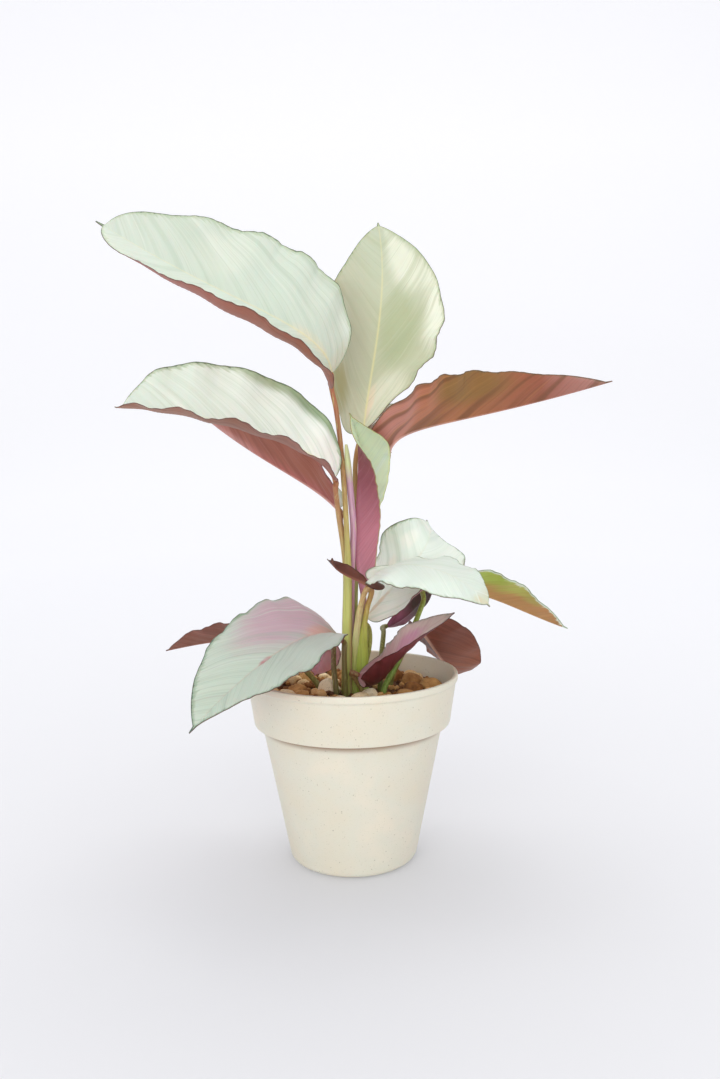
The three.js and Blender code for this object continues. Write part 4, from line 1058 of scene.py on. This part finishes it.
# %% [markdown]
# ## The skin of a stalk
#
# The skin of a stalk is smooth, waxed and finely streaked along its length. Yellow-green at the foot,
# it turns copper or pink toward the blade. The streaks are a noise that is stretched along Z, because
# the stalks stand nearly upright.

# %% The skin of a stalk
STALK_STREAK_WIDTH = 0.7
STALK_STREAK_RUN = 30.0
STALK_BUMP = 0.15
DARK_STREAK, PALE_STREAK = "#7A6A3A", "#D2DE90"


def stalk_skin(name, colours, seed, clasp=None):
    """A waxed stalk: a ramp from foot to top, fine streaks along it, and a sheath's darker left edge."""
    material, tree = new_material(name)
    height = add_node(tree, "Attribute", attribute_name="height").outputs["Fac"]
    ramp = set_ramp(add_node(tree, "ValToRGB", {"Fac": height}), colours)
    where = add_node(tree, "TexCoord").outputs["Object"]
    across, along = 1 / (STALK_STREAK_WIDTH * MM), 1 / (STALK_STREAK_RUN * MM)
    stretched = add_node(tree, "Mapping", {
        "Vector": where, "Location": (seed, seed, seed), "Scale": (across, across, along),
    })
    noise = add_node(tree, "TexNoise", {"Vector": stretched.outputs[0], "Scale": 1.0, "Detail": 3.0})
    dark = add_node(tree, "MapRange", {
        "Value": noise.outputs["Fac"], "From Min": 0.5, "From Max": 0.72, "To Max": 0.35,
    })
    pale = add_node(tree, "MapRange", {
        "Value": noise.outputs["Fac"], "From Min": 0.46, "From Max": 0.28, "To Max": 0.5,
    })
    layers = [(dark.outputs[0], DARK_STREAK), (pale.outputs[0], PALE_STREAK)]
    if clasp:
        side = add_node(tree, "Attribute", attribute_name="side").outputs["Fac"]
        to_left = add_node(tree, "MapRange", {"Value": side, "From Min": -0.35, "From Max": -0.9})
        low = add_node(tree, "MapRange", {"Value": height, "From Min": 0.42, "From Max": 0.22})
        clasped = add_node(tree, "Math", {0: to_left.outputs[0], 1: low.outputs[0]}, operation="MULTIPLY")
        layers.append((clasped.outputs[0], clasp))
    colour = ramp.outputs["Color"]
    for mask, layer_colour in layers:
        colour = add_node(tree, "Mix", {
            "Factor": mask, "A": colour, "B": linear(layer_colour),
        }, data_type="RGBA").outputs["Result"]
    bump = add_node(tree, "Bump", {
        "Height": noise.outputs["Fac"], "Strength": 0.3, "Distance": STALK_BUMP * MM,
    })
    shader = add_node(tree, "BsdfPrincipled", {
        "Base Color": colour, "Roughness": 0.42, "Normal": bump.outputs[0], "IOR": LEAF_IOR,
        "Subsurface Weight": 0.1, "Subsurface Scale": SKIN_LIGHT_REACH * MM,
    })
    add_node(tree, "OutputMaterial", {"Surface": shader.outputs[0]})
    return material


print("streaks of a stalk, wide and long in mm:", STALK_STREAK_WIDTH, STALK_STREAK_RUN)

# %% Make each stalk
STALK_STEP = 1.2
STALK_RADII = (1.4, 1.15)
JOIN_GAP = 0.8
JOIN_RUN = 1.5
INTO_BLADE = 0.4
JOINT_SWELL = 0.25
JOINT_BELOW_BLADE = 4
JOINT_REACH = 2.2
TOP_PINCH = 0.8
for name, leaf in LEAVES.items():
    stalk = leaf["stalk"]
    points = stalk_points(stalk, on_midrib_line(leaf, -JOIN_GAP - JOIN_RUN, INTO_BLADE))
    _, length = through_points(points, 2)
    route, _ = through_points(points, int(length / STALK_STEP))
    share = np.linspace(0, 1, len(route))
    from_joint = (1 - share) * length - JOINT_BELOW_BLADE
    radii = between(*STALK_RADII, share) + JOINT_SWELL * np.exp(-(from_joint / JOINT_REACH) ** 2)
    radii[-1] *= TOP_PINCH
    mesh = swept_rod(f"stalk_{name}_skin", route, radii, stalk.get("sheath", ()))
    skin = stalk_skin(f"waxed_stalk_{name}", leaf["stalk_colours"], leaf["seed"], stalk.get("clasp"))
    place_piece(f"leaf_stalk_{name}", mesh, [f"stalk_{name}"], [skin])
print("stalks:", len(LEAVES))

# %% [markdown]
# The newest leaf is still rolled up tight. It is a rod too: it swells a little toward its top and closes
# there to a point.

# %% The rolled new leaf
SPEAR_RINGS = 110
SPEAR_RADIUS = 1.35
SPEAR_SWELL = 0.35
SPEAR_POINT = 1.1
SPEAR_POINT_POWER = 24
SPEAR_SEED = 9.0
SPEAR_COLOURS = [(0.0, "#9AAA54"), (0.45, "#C58AA8"), (0.86, "#C9A0B8"), (0.93, "#D3DAA8")]
spear = {"slot": (-0.5, 0), "shoot_top": 135, "via": [(1.5, 1, 155), (0.7, 2, 169), (-0.4, 2.4, 183)]}
route, _ = through_points(stalk_points(spear, [(-1.4, 2.5, 195)]), SPEAR_RINGS)
share = np.linspace(0, 1, len(route))
radii = SPEAR_RADIUS + SPEAR_SWELL * share ** 2 - SPEAR_POINT * share ** SPEAR_POINT_POWER
mesh = swept_rod("new_leaf_spear_skin", route, radii)
skin = stalk_skin("rolled_leaf_skin", SPEAR_COLOURS, SPEAR_SEED)
place_piece("rolled_new_leaf", mesh, ["new_leaf_spear"], [skin])
print("spear height in mm:", round(float(route[-1, 2]), 1))

# %% [markdown]
# ## The pot
#
# A nursery pot is moulded in one shot: a tapered body, a deep collar that stiffens it, a narrow band
# round the rim, and drain holes in the floor. A lathe does the same with a profile, turned here in numpy,
# and the drain holes are cut with a Boolean. Each point of the profile is a radius, a height and how far
# its corner is rounded. This pot is polypropylene with ground plant fibre in it: cream, with fine brown
# and grey-green flecks, and a satin skin from the mould.

# %% Turn the pot
POT_HEIGHT = 88.0
RIM_RADIUS = 50.0
RIM_BAND_HEIGHT = 2.8
RIM_BAND_DEPTH = 0.9
RIM_BAND_SLOPE = 0.8
RIM_INNER_EDGE = 0.8
COLLAR_HEIGHT = 23.0
COLLAR_FOOT_RADIUS = 46.2
BODY_TOP_RADIUS = 42.7
BASE_RADIUS = 30.0
BASE_BEVEL_WIDTH = 3.0
BASE_BEVEL_HEIGHT = 1.6
INNER_ROUND = 1.0
CORNER_SHARE = 0.45
WALL = 1.7
FLOOR = 2.4
LEDGE_FOOT, LEDGE_TOP = 1.0, 2.2
POT_SEGMENTS = 180
collar_foot = POT_HEIGHT - COLLAR_HEIGHT


def rounded(profile, steps=4):
    """Each (radius, height, round) point with its corner replaced by a short curve of that reach."""
    points = [np.array(p[:2], float) for p in profile]
    result = [points[0]]
    for before, corner, after, wanted in zip(points, points[1:], points[2:], [p[2] for p in profile[1:]]):
        back, ahead = np.linalg.norm(before - corner), np.linalg.norm(after - corner)
        reach = min(wanted, CORNER_SHARE * back, CORNER_SHARE * ahead)
        start = corner + reach * (before - corner) / back
        end = corner + reach * (after - corner) / ahead
        for step in range(steps + 1):
            w = step / steps
            result.append((1 - w) ** 2 * start + 2 * w * (1 - w) * corner + w ** 2 * end)
    return np.array([*result, points[-1]])


def turned(name, profile, segments):
    """A closed mesh turned round Z from a profile of (radius, height) that starts and ends on the axis."""
    angle = np.linspace(0, 2 * math.pi, segments, endpoint=False)
    body = profile[1:-1]
    ring = np.stack([
        body[:, None, 0] * np.cos(angle), body[:, None, 0] * np.sin(angle),
        body[:, None, 1] + 0 * angle,
    ], -1)
    n = len(body)
    vertices = np.concatenate([ring.reshape(-1, 3), [[0, 0, profile[0, 1]], [0, 0, profile[-1, 1]]]]) * MM
    place = np.arange(n * segments).reshape(n, segments)
    beside = np.roll(place, -1, axis=1)
    walls = np.stack([place[:-1], beside[:-1], beside[1:], place[1:]], -1).reshape(-1, 4).tolist()
    caps = [[n * segments, int(b), int(a)] for a, b in zip(place[0], beside[0])]
    caps += [[n * segments + 1, int(a), int(b)] for a, b in zip(place[-1], beside[-1])]
    mesh = bpy.data.meshes.new(name)
    mesh.from_pydata(vertices.tolist(), [], walls + caps)
    return mesh


inner_profile = [
    (BASE_RADIUS - WALL, FLOOR),
    (BODY_TOP_RADIUS - WALL, collar_foot + LEDGE_FOOT),
    (COLLAR_FOOT_RADIUS - WALL, collar_foot + LEDGE_TOP),
    (RIM_RADIUS - WALL, POT_HEIGHT - RIM_INNER_EDGE),
]
pot_profile = rounded([
    (0, 0, 0),
    (BASE_RADIUS - BASE_BEVEL_WIDTH, 0, 0.6),
    (BASE_RADIUS, BASE_BEVEL_HEIGHT, 1.4),
    (BODY_TOP_RADIUS, collar_foot, 0.3),
    (COLLAR_FOOT_RADIUS, collar_foot, 0.7),
    (RIM_RADIUS - RIM_BAND_DEPTH, POT_HEIGHT - RIM_BAND_HEIGHT - RIM_BAND_SLOPE, 0.8),
    (RIM_RADIUS, POT_HEIGHT - RIM_BAND_HEIGHT, 0.5),
    (RIM_RADIUS, POT_HEIGHT, 0.8),
    (RIM_RADIUS - WALL, POT_HEIGHT, 0.7),
    *[(*point, INNER_ROUND) for point in reversed(inner_profile[:-1])],
    (0, FLOOR, 0),
])
pot_mesh = turned("pot_skin", pot_profile, POT_SEGMENTS)
print("pot faces:", len(pot_mesh.polygons))

# %% [markdown]
# ## Moulded plastic with plant fibre
#
# Polypropylene has an IOR near 1.49. The flecks are cells of a Voronoi pattern: most cells stay cream,
# and the few whose random value is high turn brown or grey-green. Real flecks are 0.2 to 0.6 mm. A kind
# of fleck has the size of its cells in mm, the share of cells that stay plain, its radius as a share of a
# cell, its colour and its strength. Right under the collar the plastic is painted browner: painted shade
# under the overhang of the collar.

# %% The finish of the pot
PLASTIC_IOR = 1.49
CLOUD_SIZE = 28
CREAM_TONES = [(0.3, "#E0D8C4"), (0.55, "#DEDBCB"), (0.75, "#E8DECB")]
FLECKS = [
    (0.8, 0.86, 0.30, "#B2AE96", 0.5),
    (1.3, 0.92, 0.25, "#948F78", 0.6),
    (4.5, 0.94, 0.08, "#7C6F60", 0.7),
    (0.6, 0.70, 0.40, "#D4D1BA", 0.55),
]
FLECK_FADE = 0.02
STEP_SHADE = "#8F6A4C"
STEP_SHADE_DEPTH = 4.2
STEP_SHADE_END = 0.15
GRAIN_SPACING = 0.35
GRAIN_BUMP = 0.08
PLASTIC_LIGHT_REACH = 2.0


def fibre_plastic(name):
    """Cream plastic with flecks, and brown painted shade right under the collar."""
    material, tree = new_material(name)
    where = add_node(tree, "TexCoord").outputs["Object"]
    cloud = add_node(tree, "TexNoise", {"Vector": where, "Scale": 1 / (CLOUD_SIZE * MM), "Detail": 3.0})
    tone = set_ramp(add_node(tree, "ValToRGB", {"Fac": cloud.outputs["Fac"]}), CREAM_TONES)

    layers = []
    for spacing, plain, size, fleck_colour, amount in FLECKS:
        cells = add_node(tree, "TexVoronoi", {"Vector": where, "Scale": 1 / (spacing * MM)})
        chosen = add_node(tree, "SeparateColor", {"Color": cells.outputs["Color"]})
        rare = add_node(tree, "MapRange", {
            "Value": chosen.outputs[0], "From Min": plain, "From Max": plain + FLECK_FADE,
        })
        dot = add_node(tree, "MapRange", {
            "Value": cells.outputs["Distance"], "From Min": 0.5 * size, "From Max": size,
            "To Min": amount, "To Max": 0.0,
        })
        fleck = add_node(tree, "Math", {0: rare.outputs[0], 1: dot.outputs[0]}, operation="MULTIPLY")
        layers.append((fleck.outputs[0], fleck_colour))

    # Painted shade: a brown band just below the collar's overhang, fading downward
    height = add_node(tree, "SeparateXYZ", {"Vector": where}).outputs["Z"]
    near_step = add_node(tree, "MapRange", {
        "Value": height, "From Min": (collar_foot - STEP_SHADE_DEPTH) * MM, "From Max": collar_foot * MM,
        "To Max": 0.95,
    }, interpolation_type="SMOOTHSTEP")
    below_step = add_node(tree, "Math", {
        0: height, 1: (collar_foot + STEP_SHADE_END) * MM,
    }, operation="LESS_THAN")
    painted_collar_shade = add_node(tree, "Math", {0: near_step.outputs[0], 1: below_step.outputs[0]}, operation="MULTIPLY")
    layers.append((painted_collar_shade.outputs[0], STEP_SHADE))

    colour = tone.outputs["Color"]
    for mask, layer_colour in layers:
        colour = add_node(tree, "Mix", {
            "Factor": mask, "A": colour, "B": linear(layer_colour),
        }, data_type="RGBA").outputs["Result"]

    grain = add_node(tree, "TexNoise", {"Vector": where, "Scale": 1 / (GRAIN_SPACING * MM), "Detail": 2.0})
    bump = add_node(tree, "Bump", {
        "Height": grain.outputs["Fac"], "Strength": 0.12, "Distance": GRAIN_BUMP * MM,
    })
    shader = add_node(tree, "BsdfPrincipled", {
        "Base Color": colour, "Roughness": 0.48, "Normal": bump.outputs[0], "IOR": PLASTIC_IOR,
        "Subsurface Weight": 0.08, "Subsurface Scale": PLASTIC_LIGHT_REACH * MM,
    })
    add_node(tree, "OutputMaterial", {"Surface": shader.outputs[0]})
    return material


print("kinds of fleck:", len(FLECKS))

# %% Cut the drain holes
DRAIN_HOLES = 5
DRAIN_RADIUS = 2.5
DRAIN_CIRCLE = 18.0
DRAIN_SIDES = 32
POT_SHARP_ANGLE = 35
plastic = fibre_plastic("fibre_filled_polypropylene")
pot = place_piece("nursery_pot", pot_mesh, ["pot"], [plastic])
for hole in range(DRAIN_HOLES):
    angle = 2 * math.pi * hole / DRAIN_HOLES
    x, y = DRAIN_CIRCLE * math.cos(angle), DRAIN_CIRCLE * math.sin(angle)
    bpy.ops.mesh.primitive_cylinder_add(
        vertices=DRAIN_SIDES, radius=DRAIN_RADIUS * MM, depth=3 * FLOOR * MM,
        location=(x * MM, y * MM, 0.5 * FLOOR * MM),
    )
    drill = bpy.context.object
    cut = pot.modifiers.new("drain_hole", "BOOLEAN")
    cut.object = drill
    cut.operation = "DIFFERENCE"
    bpy.context.view_layer.objects.active = pot
    bpy.ops.object.modifier_apply(modifier=cut.name)
    bpy.data.objects.remove(drill)
pot.data.shade_smooth()
pot.data.set_sharp_from_angle(angle=math.radians(POT_SHARP_ANGLE))
print("pot faces with holes:", len(pot.data.polygons))

# %% [markdown]
# ## The potting mix
#
# The mix is a bed of bark and peat under broken stone: tan, cream and brown lumps of pumice and baked
# clay, 5 to 12 mm across. The stones could be dropped by a physics simulation, but then they would not
# lie where the solid model has them. So the same seeded draw throws them here, in the same order, and
# each one is then cut by a few random planes, as a hammer breaks stone, and roughened. The first seven,
# each with its place and its radius, are listed one by one, because the front shows them best.

# %% Where the stones lie
STONE_COUNT = 50
STONE_TRIES = 2600
STONE_RADII = (2.6, 5.2)
SMALL_STONES = 1.5
STONE_REACH = 1.3
STONE_CLOSENESS = 0.85
FIRST_STONES = [
    (-11, 0, 5.2), (-25.5, -2, 4.6), (8, -10.5, 3.4), (29, -3, 4), (38, 5, 4.8), (29.5, 14.5, 5.4),
    (8, 16, 4.6),
]


def seeded_draw(seed):
    """The same run of numbers from 0 to 1 each time, from a linear congruential generator."""
    multiplier, increment, modulus = 1664525, 1013904223, 2 ** 32
    state = seed
    while True:
        state = (state * multiplier + increment) % modulus
        yield state / modulus


def inner_radius(height):
    """The radius of the pot's inside at a height."""
    radii, heights = zip(*inner_profile)
    return float(np.interp(height, heights, radii))


soil_radius = inner_radius(SOIL_TOP) - FIT_GAP


def stone_places(keep_clear, draw):
    """The place and the radius of each stone, the first ones by hand and the others thrown between them."""
    stones = list(FIRST_STONES)
    for _ in range(STONE_TRIES):
        if len(stones) >= STONE_COUNT:
            break
        radius = between(*STONE_RADII, next(draw) ** SMALL_STONES)
        angle = 2 * math.pi * next(draw)
        distance = (soil_radius - STONE_REACH * radius) * math.sqrt(next(draw))
        x, y = distance * math.cos(angle), distance * math.sin(angle)
        meets_stone = any(math.hypot(x - u, y - v) < STONE_CLOSENESS * (radius + r) for u, v, r in stones)
        meets_stalk = any(math.hypot(x - u, y - v) < r + STONE_REACH * radius for u, v, r in keep_clear)
        if not meets_stone and not meets_stalk:
            stones.append((x, y, radius))
    return stones


print("radius of the mix at its top in mm:", round(soil_radius, 1))

# %% Stalks keep their places clear
CLEAR_HEIGHT = 8
SHOOT_HOLE_RADIUS = 6.8
STALK_HOLE_RADIUS = 2.15
STALK_RADIUS = 1.35
ROUTE_SAMPLES = 61
STONE_SEED = 7
keep_clear = [(*SHOOT_FOOT, SHOOT_HOLE_RADIUS)]
for leaf in LEAVES.values():
    stalk = leaf["stalk"]
    if "foot" in stalk:
        keep_clear.append((*stalk["foot"], STALK_HOLE_RADIUS))
    ends = on_midrib_line(leaf, -JOIN_GAP - JOIN_RUN, -JOIN_GAP)
    route, _ = through_points(stalk_points(stalk, ends), ROUTE_SAMPLES)
    keep_clear += [(x, y, STALK_RADIUS) for x, y, z in route if SOIL_TOP < z < SOIL_TOP + CLEAR_HEIGHT]
draw = seeded_draw(STONE_SEED)
stones = stone_places(keep_clear, draw)
print("stones:", len(stones))


# %% Break a stone
def ball(subdivisions):
    """Points and faces of a unit ball of even triangles."""
    bpy.ops.mesh.primitive_ico_sphere_add(subdivisions=subdivisions, radius=1)
    source = bpy.context.object
    points = np.array([v.co for v in source.data.vertices])
    faces = np.array([f.vertices for f in source.data.polygons])
    bpy.data.objects.remove(source)
    return points, faces


FINE_BALL, CRUMB_BALL = ball(4), ball(2)
CUT_DEPTHS = (0.72, 1.0)
CUT_SHARPNESS = 24.0
BALL_PRESS = 0.9
SKIN_ROUGHNESS = 0.09
SKIN_SCALES = (3, 6, 11)
SKIN_SHIFT = 6


def broken_stone(points, random, cuts):
    """A unit ball cut by a few random planes, with slightly worn edges and a rough skin."""
    planes = unit(random.normal(size=(cuts, 3)))
    depth = random.uniform(*CUT_DEPTHS, cuts)
    press = np.clip(points @ planes.T, 0, None) / depth
    reach = ((press ** CUT_SHARPNESS).sum(1) + BALL_PRESS ** CUT_SHARPNESS) ** (-1 / CUT_SHARPNESS)
    bumps = np.zeros(len(points))
    for scale in SKIN_SCALES:
        bumps += np.sin(points @ random.normal(size=3) * scale + random.uniform(0, SKIN_SHIFT)) / scale
    return points * (reach * (1 + SKIN_ROUGHNESS * bumps))[:, None]


print("faces of a stone and of a crumb:", len(FINE_BALL[1]), len(CRUMB_BALL[1]))

# %% [markdown]
# ## The stone's finish
#
# Pumice and baked clay are dry, dull and full of pores, so the roughness is near 0.9. A fine noise dents
# the surface, and a Voronoi pattern darkens its pores with painted shade. Each stone carries a value, its
# tint, which picks its colour from cream over ochre to brown.

# %% Colours of the mix
CLAY_TONES = [
    (0.0, "#FFF2D4"), (0.3, "#F6D8A4"), (0.55, "#D4A468"), (0.8, "#9C6836"), (1.0, "#523620"),
]
BLOTCH_SIZE = 3.0
BLOTCH_SHIFT = 0.22
PORE_SPACING = 0.9
PORE_SHADE_COLOUR = "#6E4C30"
GRIT_SIZE = 0.5
GRIT_BUMP = 0.35


def broken_clay(name):
    """Dull stone: its tint and a blotchy noise pick the colour, and painted shade darkens its pores."""
    material, tree = new_material(name)
    tint = add_node(tree, "Attribute", attribute_name="tint").outputs["Fac"]
    where = add_node(tree, "TexCoord").outputs["Object"]
    blotch = add_node(tree, "TexNoise", {"Vector": where, "Scale": 1 / (BLOTCH_SIZE * MM), "Detail": 4.0})
    shifted = add_node(tree, "MapRange", {
        "Value": blotch.outputs["Fac"], "To Min": -BLOTCH_SHIFT, "To Max": BLOTCH_SHIFT,
    })
    choice = add_node(tree, "Math", {0: tint, 1: shifted.outputs[0]}, operation="ADD")
    ramp = set_ramp(add_node(tree, "ValToRGB", {"Fac": choice.outputs[0]}), CLAY_TONES)
    pores = add_node(tree, "TexVoronoi", {"Vector": where, "Scale": 1 / (PORE_SPACING * MM)})
    # Painted shade in the pores: dark spots at the centres of the Voronoi cells
    pits = add_node(tree, "MapRange", {
        "Value": pores.outputs["Distance"], "From Min": 0.1, "From Max": 0.35, "To Min": 0.32, "To Max": 0.0,
    })
    colour = add_node(tree, "Mix", {
        "Factor": pits.outputs[0], "A": ramp.outputs["Color"], "B": linear(PORE_SHADE_COLOUR),
    }, data_type="RGBA").outputs["Result"]
    grit = add_node(tree, "TexNoise", {"Vector": where, "Scale": 1 / (GRIT_SIZE * MM), "Detail": 5.0})
    bump = add_node(tree, "Bump", {
        "Height": grit.outputs["Fac"], "Strength": 0.7, "Distance": GRIT_BUMP * MM,
    })
    shader = add_node(tree, "BsdfPrincipled", {
        "Base Color": colour, "Roughness": 0.9, "Normal": bump.outputs[0],
    })
    add_node(tree, "OutputMaterial", {"Surface": shader.outputs[0]})
    return material


print("pores of the stones are apart by mm:", PORE_SPACING)

# %% [markdown]
# The stones, the crumbs and the bed are gathered as lumps, each with its points, its faces and its tint,
# and then joined into one mesh. The first seven stones have tints that are listed one by one. Of the
# others, those to the right are browner.

# %% Lay the stones
STONE_SUNK = (0.1, 0.35)
STONE_STRETCH = [(0.85, 1.25), (0.75, 1.05), (0.65, 0.95)]
CORNERS_IN_SOLID = 12
STONE_FILL = 1.06
STONE_CUTS = 9
BROWN_FROM = 20
STONE_TINTS = (0.0, 0.7)
BROWN_TINTS = (0.35, 0.95)
FIRST_TINTS = [0.0, 0.64, 0.05, 0.85, 0.6, 0.72, 0.5]
MIX_SEED = 12
random = np.random.default_rng(MIX_SEED)
lumps = []
for number, (x, y, radius) in enumerate(stones):
    height = SOIL_TOP + radius * between(*STONE_SUNK, next(draw))
    stretch = np.array([between(*limits, next(draw)) for limits in STONE_STRETCH])
    # The solid model spends a draw on each corner of its plainer stone
    for _ in range(CORNERS_IN_SOLID):
        next(draw)
    spin = 2 * math.pi * next(draw)
    stone = broken_stone(FINE_BALL[0], random, STONE_CUTS) * stretch * radius * STONE_FILL
    spun_x = stone[:, 0] * math.cos(spin) - stone[:, 1] * math.sin(spin)
    spun_y = stone[:, 0] * math.sin(spin) + stone[:, 1] * math.cos(spin)
    tint = random.uniform(*(STONE_TINTS if x < BROWN_FROM else BROWN_TINTS))
    if number < len(FIRST_TINTS):
        tint = FIRST_TINTS[number]
    lumps.append((np.stack([spun_x + x, spun_y + y, stone[:, 2] + height], -1), FINE_BALL[1], tint))
print("stones laid:", len(lumps))

# %% Scatter the crumbs
CRUMBS = 700
CRUMB_RADII = (0.5, 1.7)
CRUMB_STRETCH = (0.7, 1.2)
CRUMB_CUTS = 7
CRUMB_CLEARANCE = 0.6
CRUMB_LIFT = 0.4
# The crumbs are browner than most stones: partly their own colour, partly painted shade in the gaps between
# the stones
CRUMB_TINTS = (0.5, 1.0)
while len(lumps) < len(stones) + CRUMBS:
    radius = random.uniform(*CRUMB_RADII)
    angle = random.uniform(0, 2 * math.pi)
    distance = (soil_radius - radius) * math.sqrt(random.uniform())
    x, y = distance * math.cos(angle), distance * math.sin(angle)
    if any(math.hypot(x - u, y - v) < r + CRUMB_CLEARANCE * radius for u, v, r in keep_clear):
        continue
    crumb = broken_stone(CRUMB_BALL[0], random, CRUMB_CUTS) * radius * random.uniform(*CRUMB_STRETCH, 3)
    crumb = crumb + [x, y, SOIL_TOP + CRUMB_LIFT * radius]
    lumps.append((crumb, CRUMB_BALL[1], random.uniform(*CRUMB_TINTS)))
print("stones and crumbs:", len(lumps))

# %% The bed under the stones
BED_RINGS = 40
BED_SEGMENTS = 96
BED_EDGE = 0.55
BED_UNEVENNESS = (-0.7, 0.5)
# The bed is dark brown: its own peat colour, and partly painted shade in the gaps between the stones
BED_TINT = 0.95
STALK_DIP = 0.8
STALK_DIP_MARGIN = 0.3
HEIGHT_TOLERANCE = 0.01
bed_foot = FLOOR + FIT_GAP
bed = turned("bed", np.array([
    (0, bed_foot),
    (inner_radius(bed_foot) - FIT_GAP, bed_foot),
    (BODY_TOP_RADIUS - WALL - FIT_GAP, collar_foot + LEDGE_FOOT + FIT_GAP / 2),
    (COLLAR_FOOT_RADIUS - WALL - FIT_GAP, collar_foot + LEDGE_TOP + FIT_GAP / 2),
    *[(soil_radius * (1 - ring / BED_RINGS), SOIL_TOP) for ring in range(BED_RINGS)],
    (0, SOIL_TOP),
]), BED_SEGMENTS)
points = np.array([v.co for v in bed.vertices]) / MM
inside = np.hypot(points[:, 0], points[:, 1]) < soil_radius - BED_EDGE
on_top = (points[:, 2] > SOIL_TOP - HEIGHT_TOLERANCE) & inside
points[on_top, 2] += random.uniform(*BED_UNEVENNESS, on_top.sum())
for u, v, r in keep_clear:
    at_stalk = on_top & (np.hypot(points[:, 0] - u, points[:, 1] - v) < r + STALK_DIP_MARGIN)
    points[at_stalk, 2] = SOIL_TOP - STALK_DIP
lumps.append((points, [f.vertices for f in bed.polygons], BED_TINT))
print("points of the bed:", len(points))

# %% Join the mix into one piece
STONE_SHARP_ANGLE = 50
vertices, faces, tints = [], [], []
for points, lump_faces, tint in lumps:
    faces += [[int(corner) + len(vertices) for corner in face] for face in lump_faces]
    vertices += (points * MM).tolist()
    tints += [tint] * len(points)
mix_mesh = bpy.data.meshes.new("potting_mix_skin")
mix_mesh.from_pydata(vertices, [], faces)
mix_mesh.attributes.new("tint", "FLOAT", "POINT").data.foreach_set("value", tints)
mix_mesh.shade_smooth()
mix_mesh.set_sharp_from_angle(angle=math.radians(STONE_SHARP_ANGLE))
clay = broken_clay("pumice_and_baked_clay")
place_piece("stony_potting_mix", mix_mesh, ["potting_mix"], [clay])
print("mix faces:", len(mix_mesh.polygons))
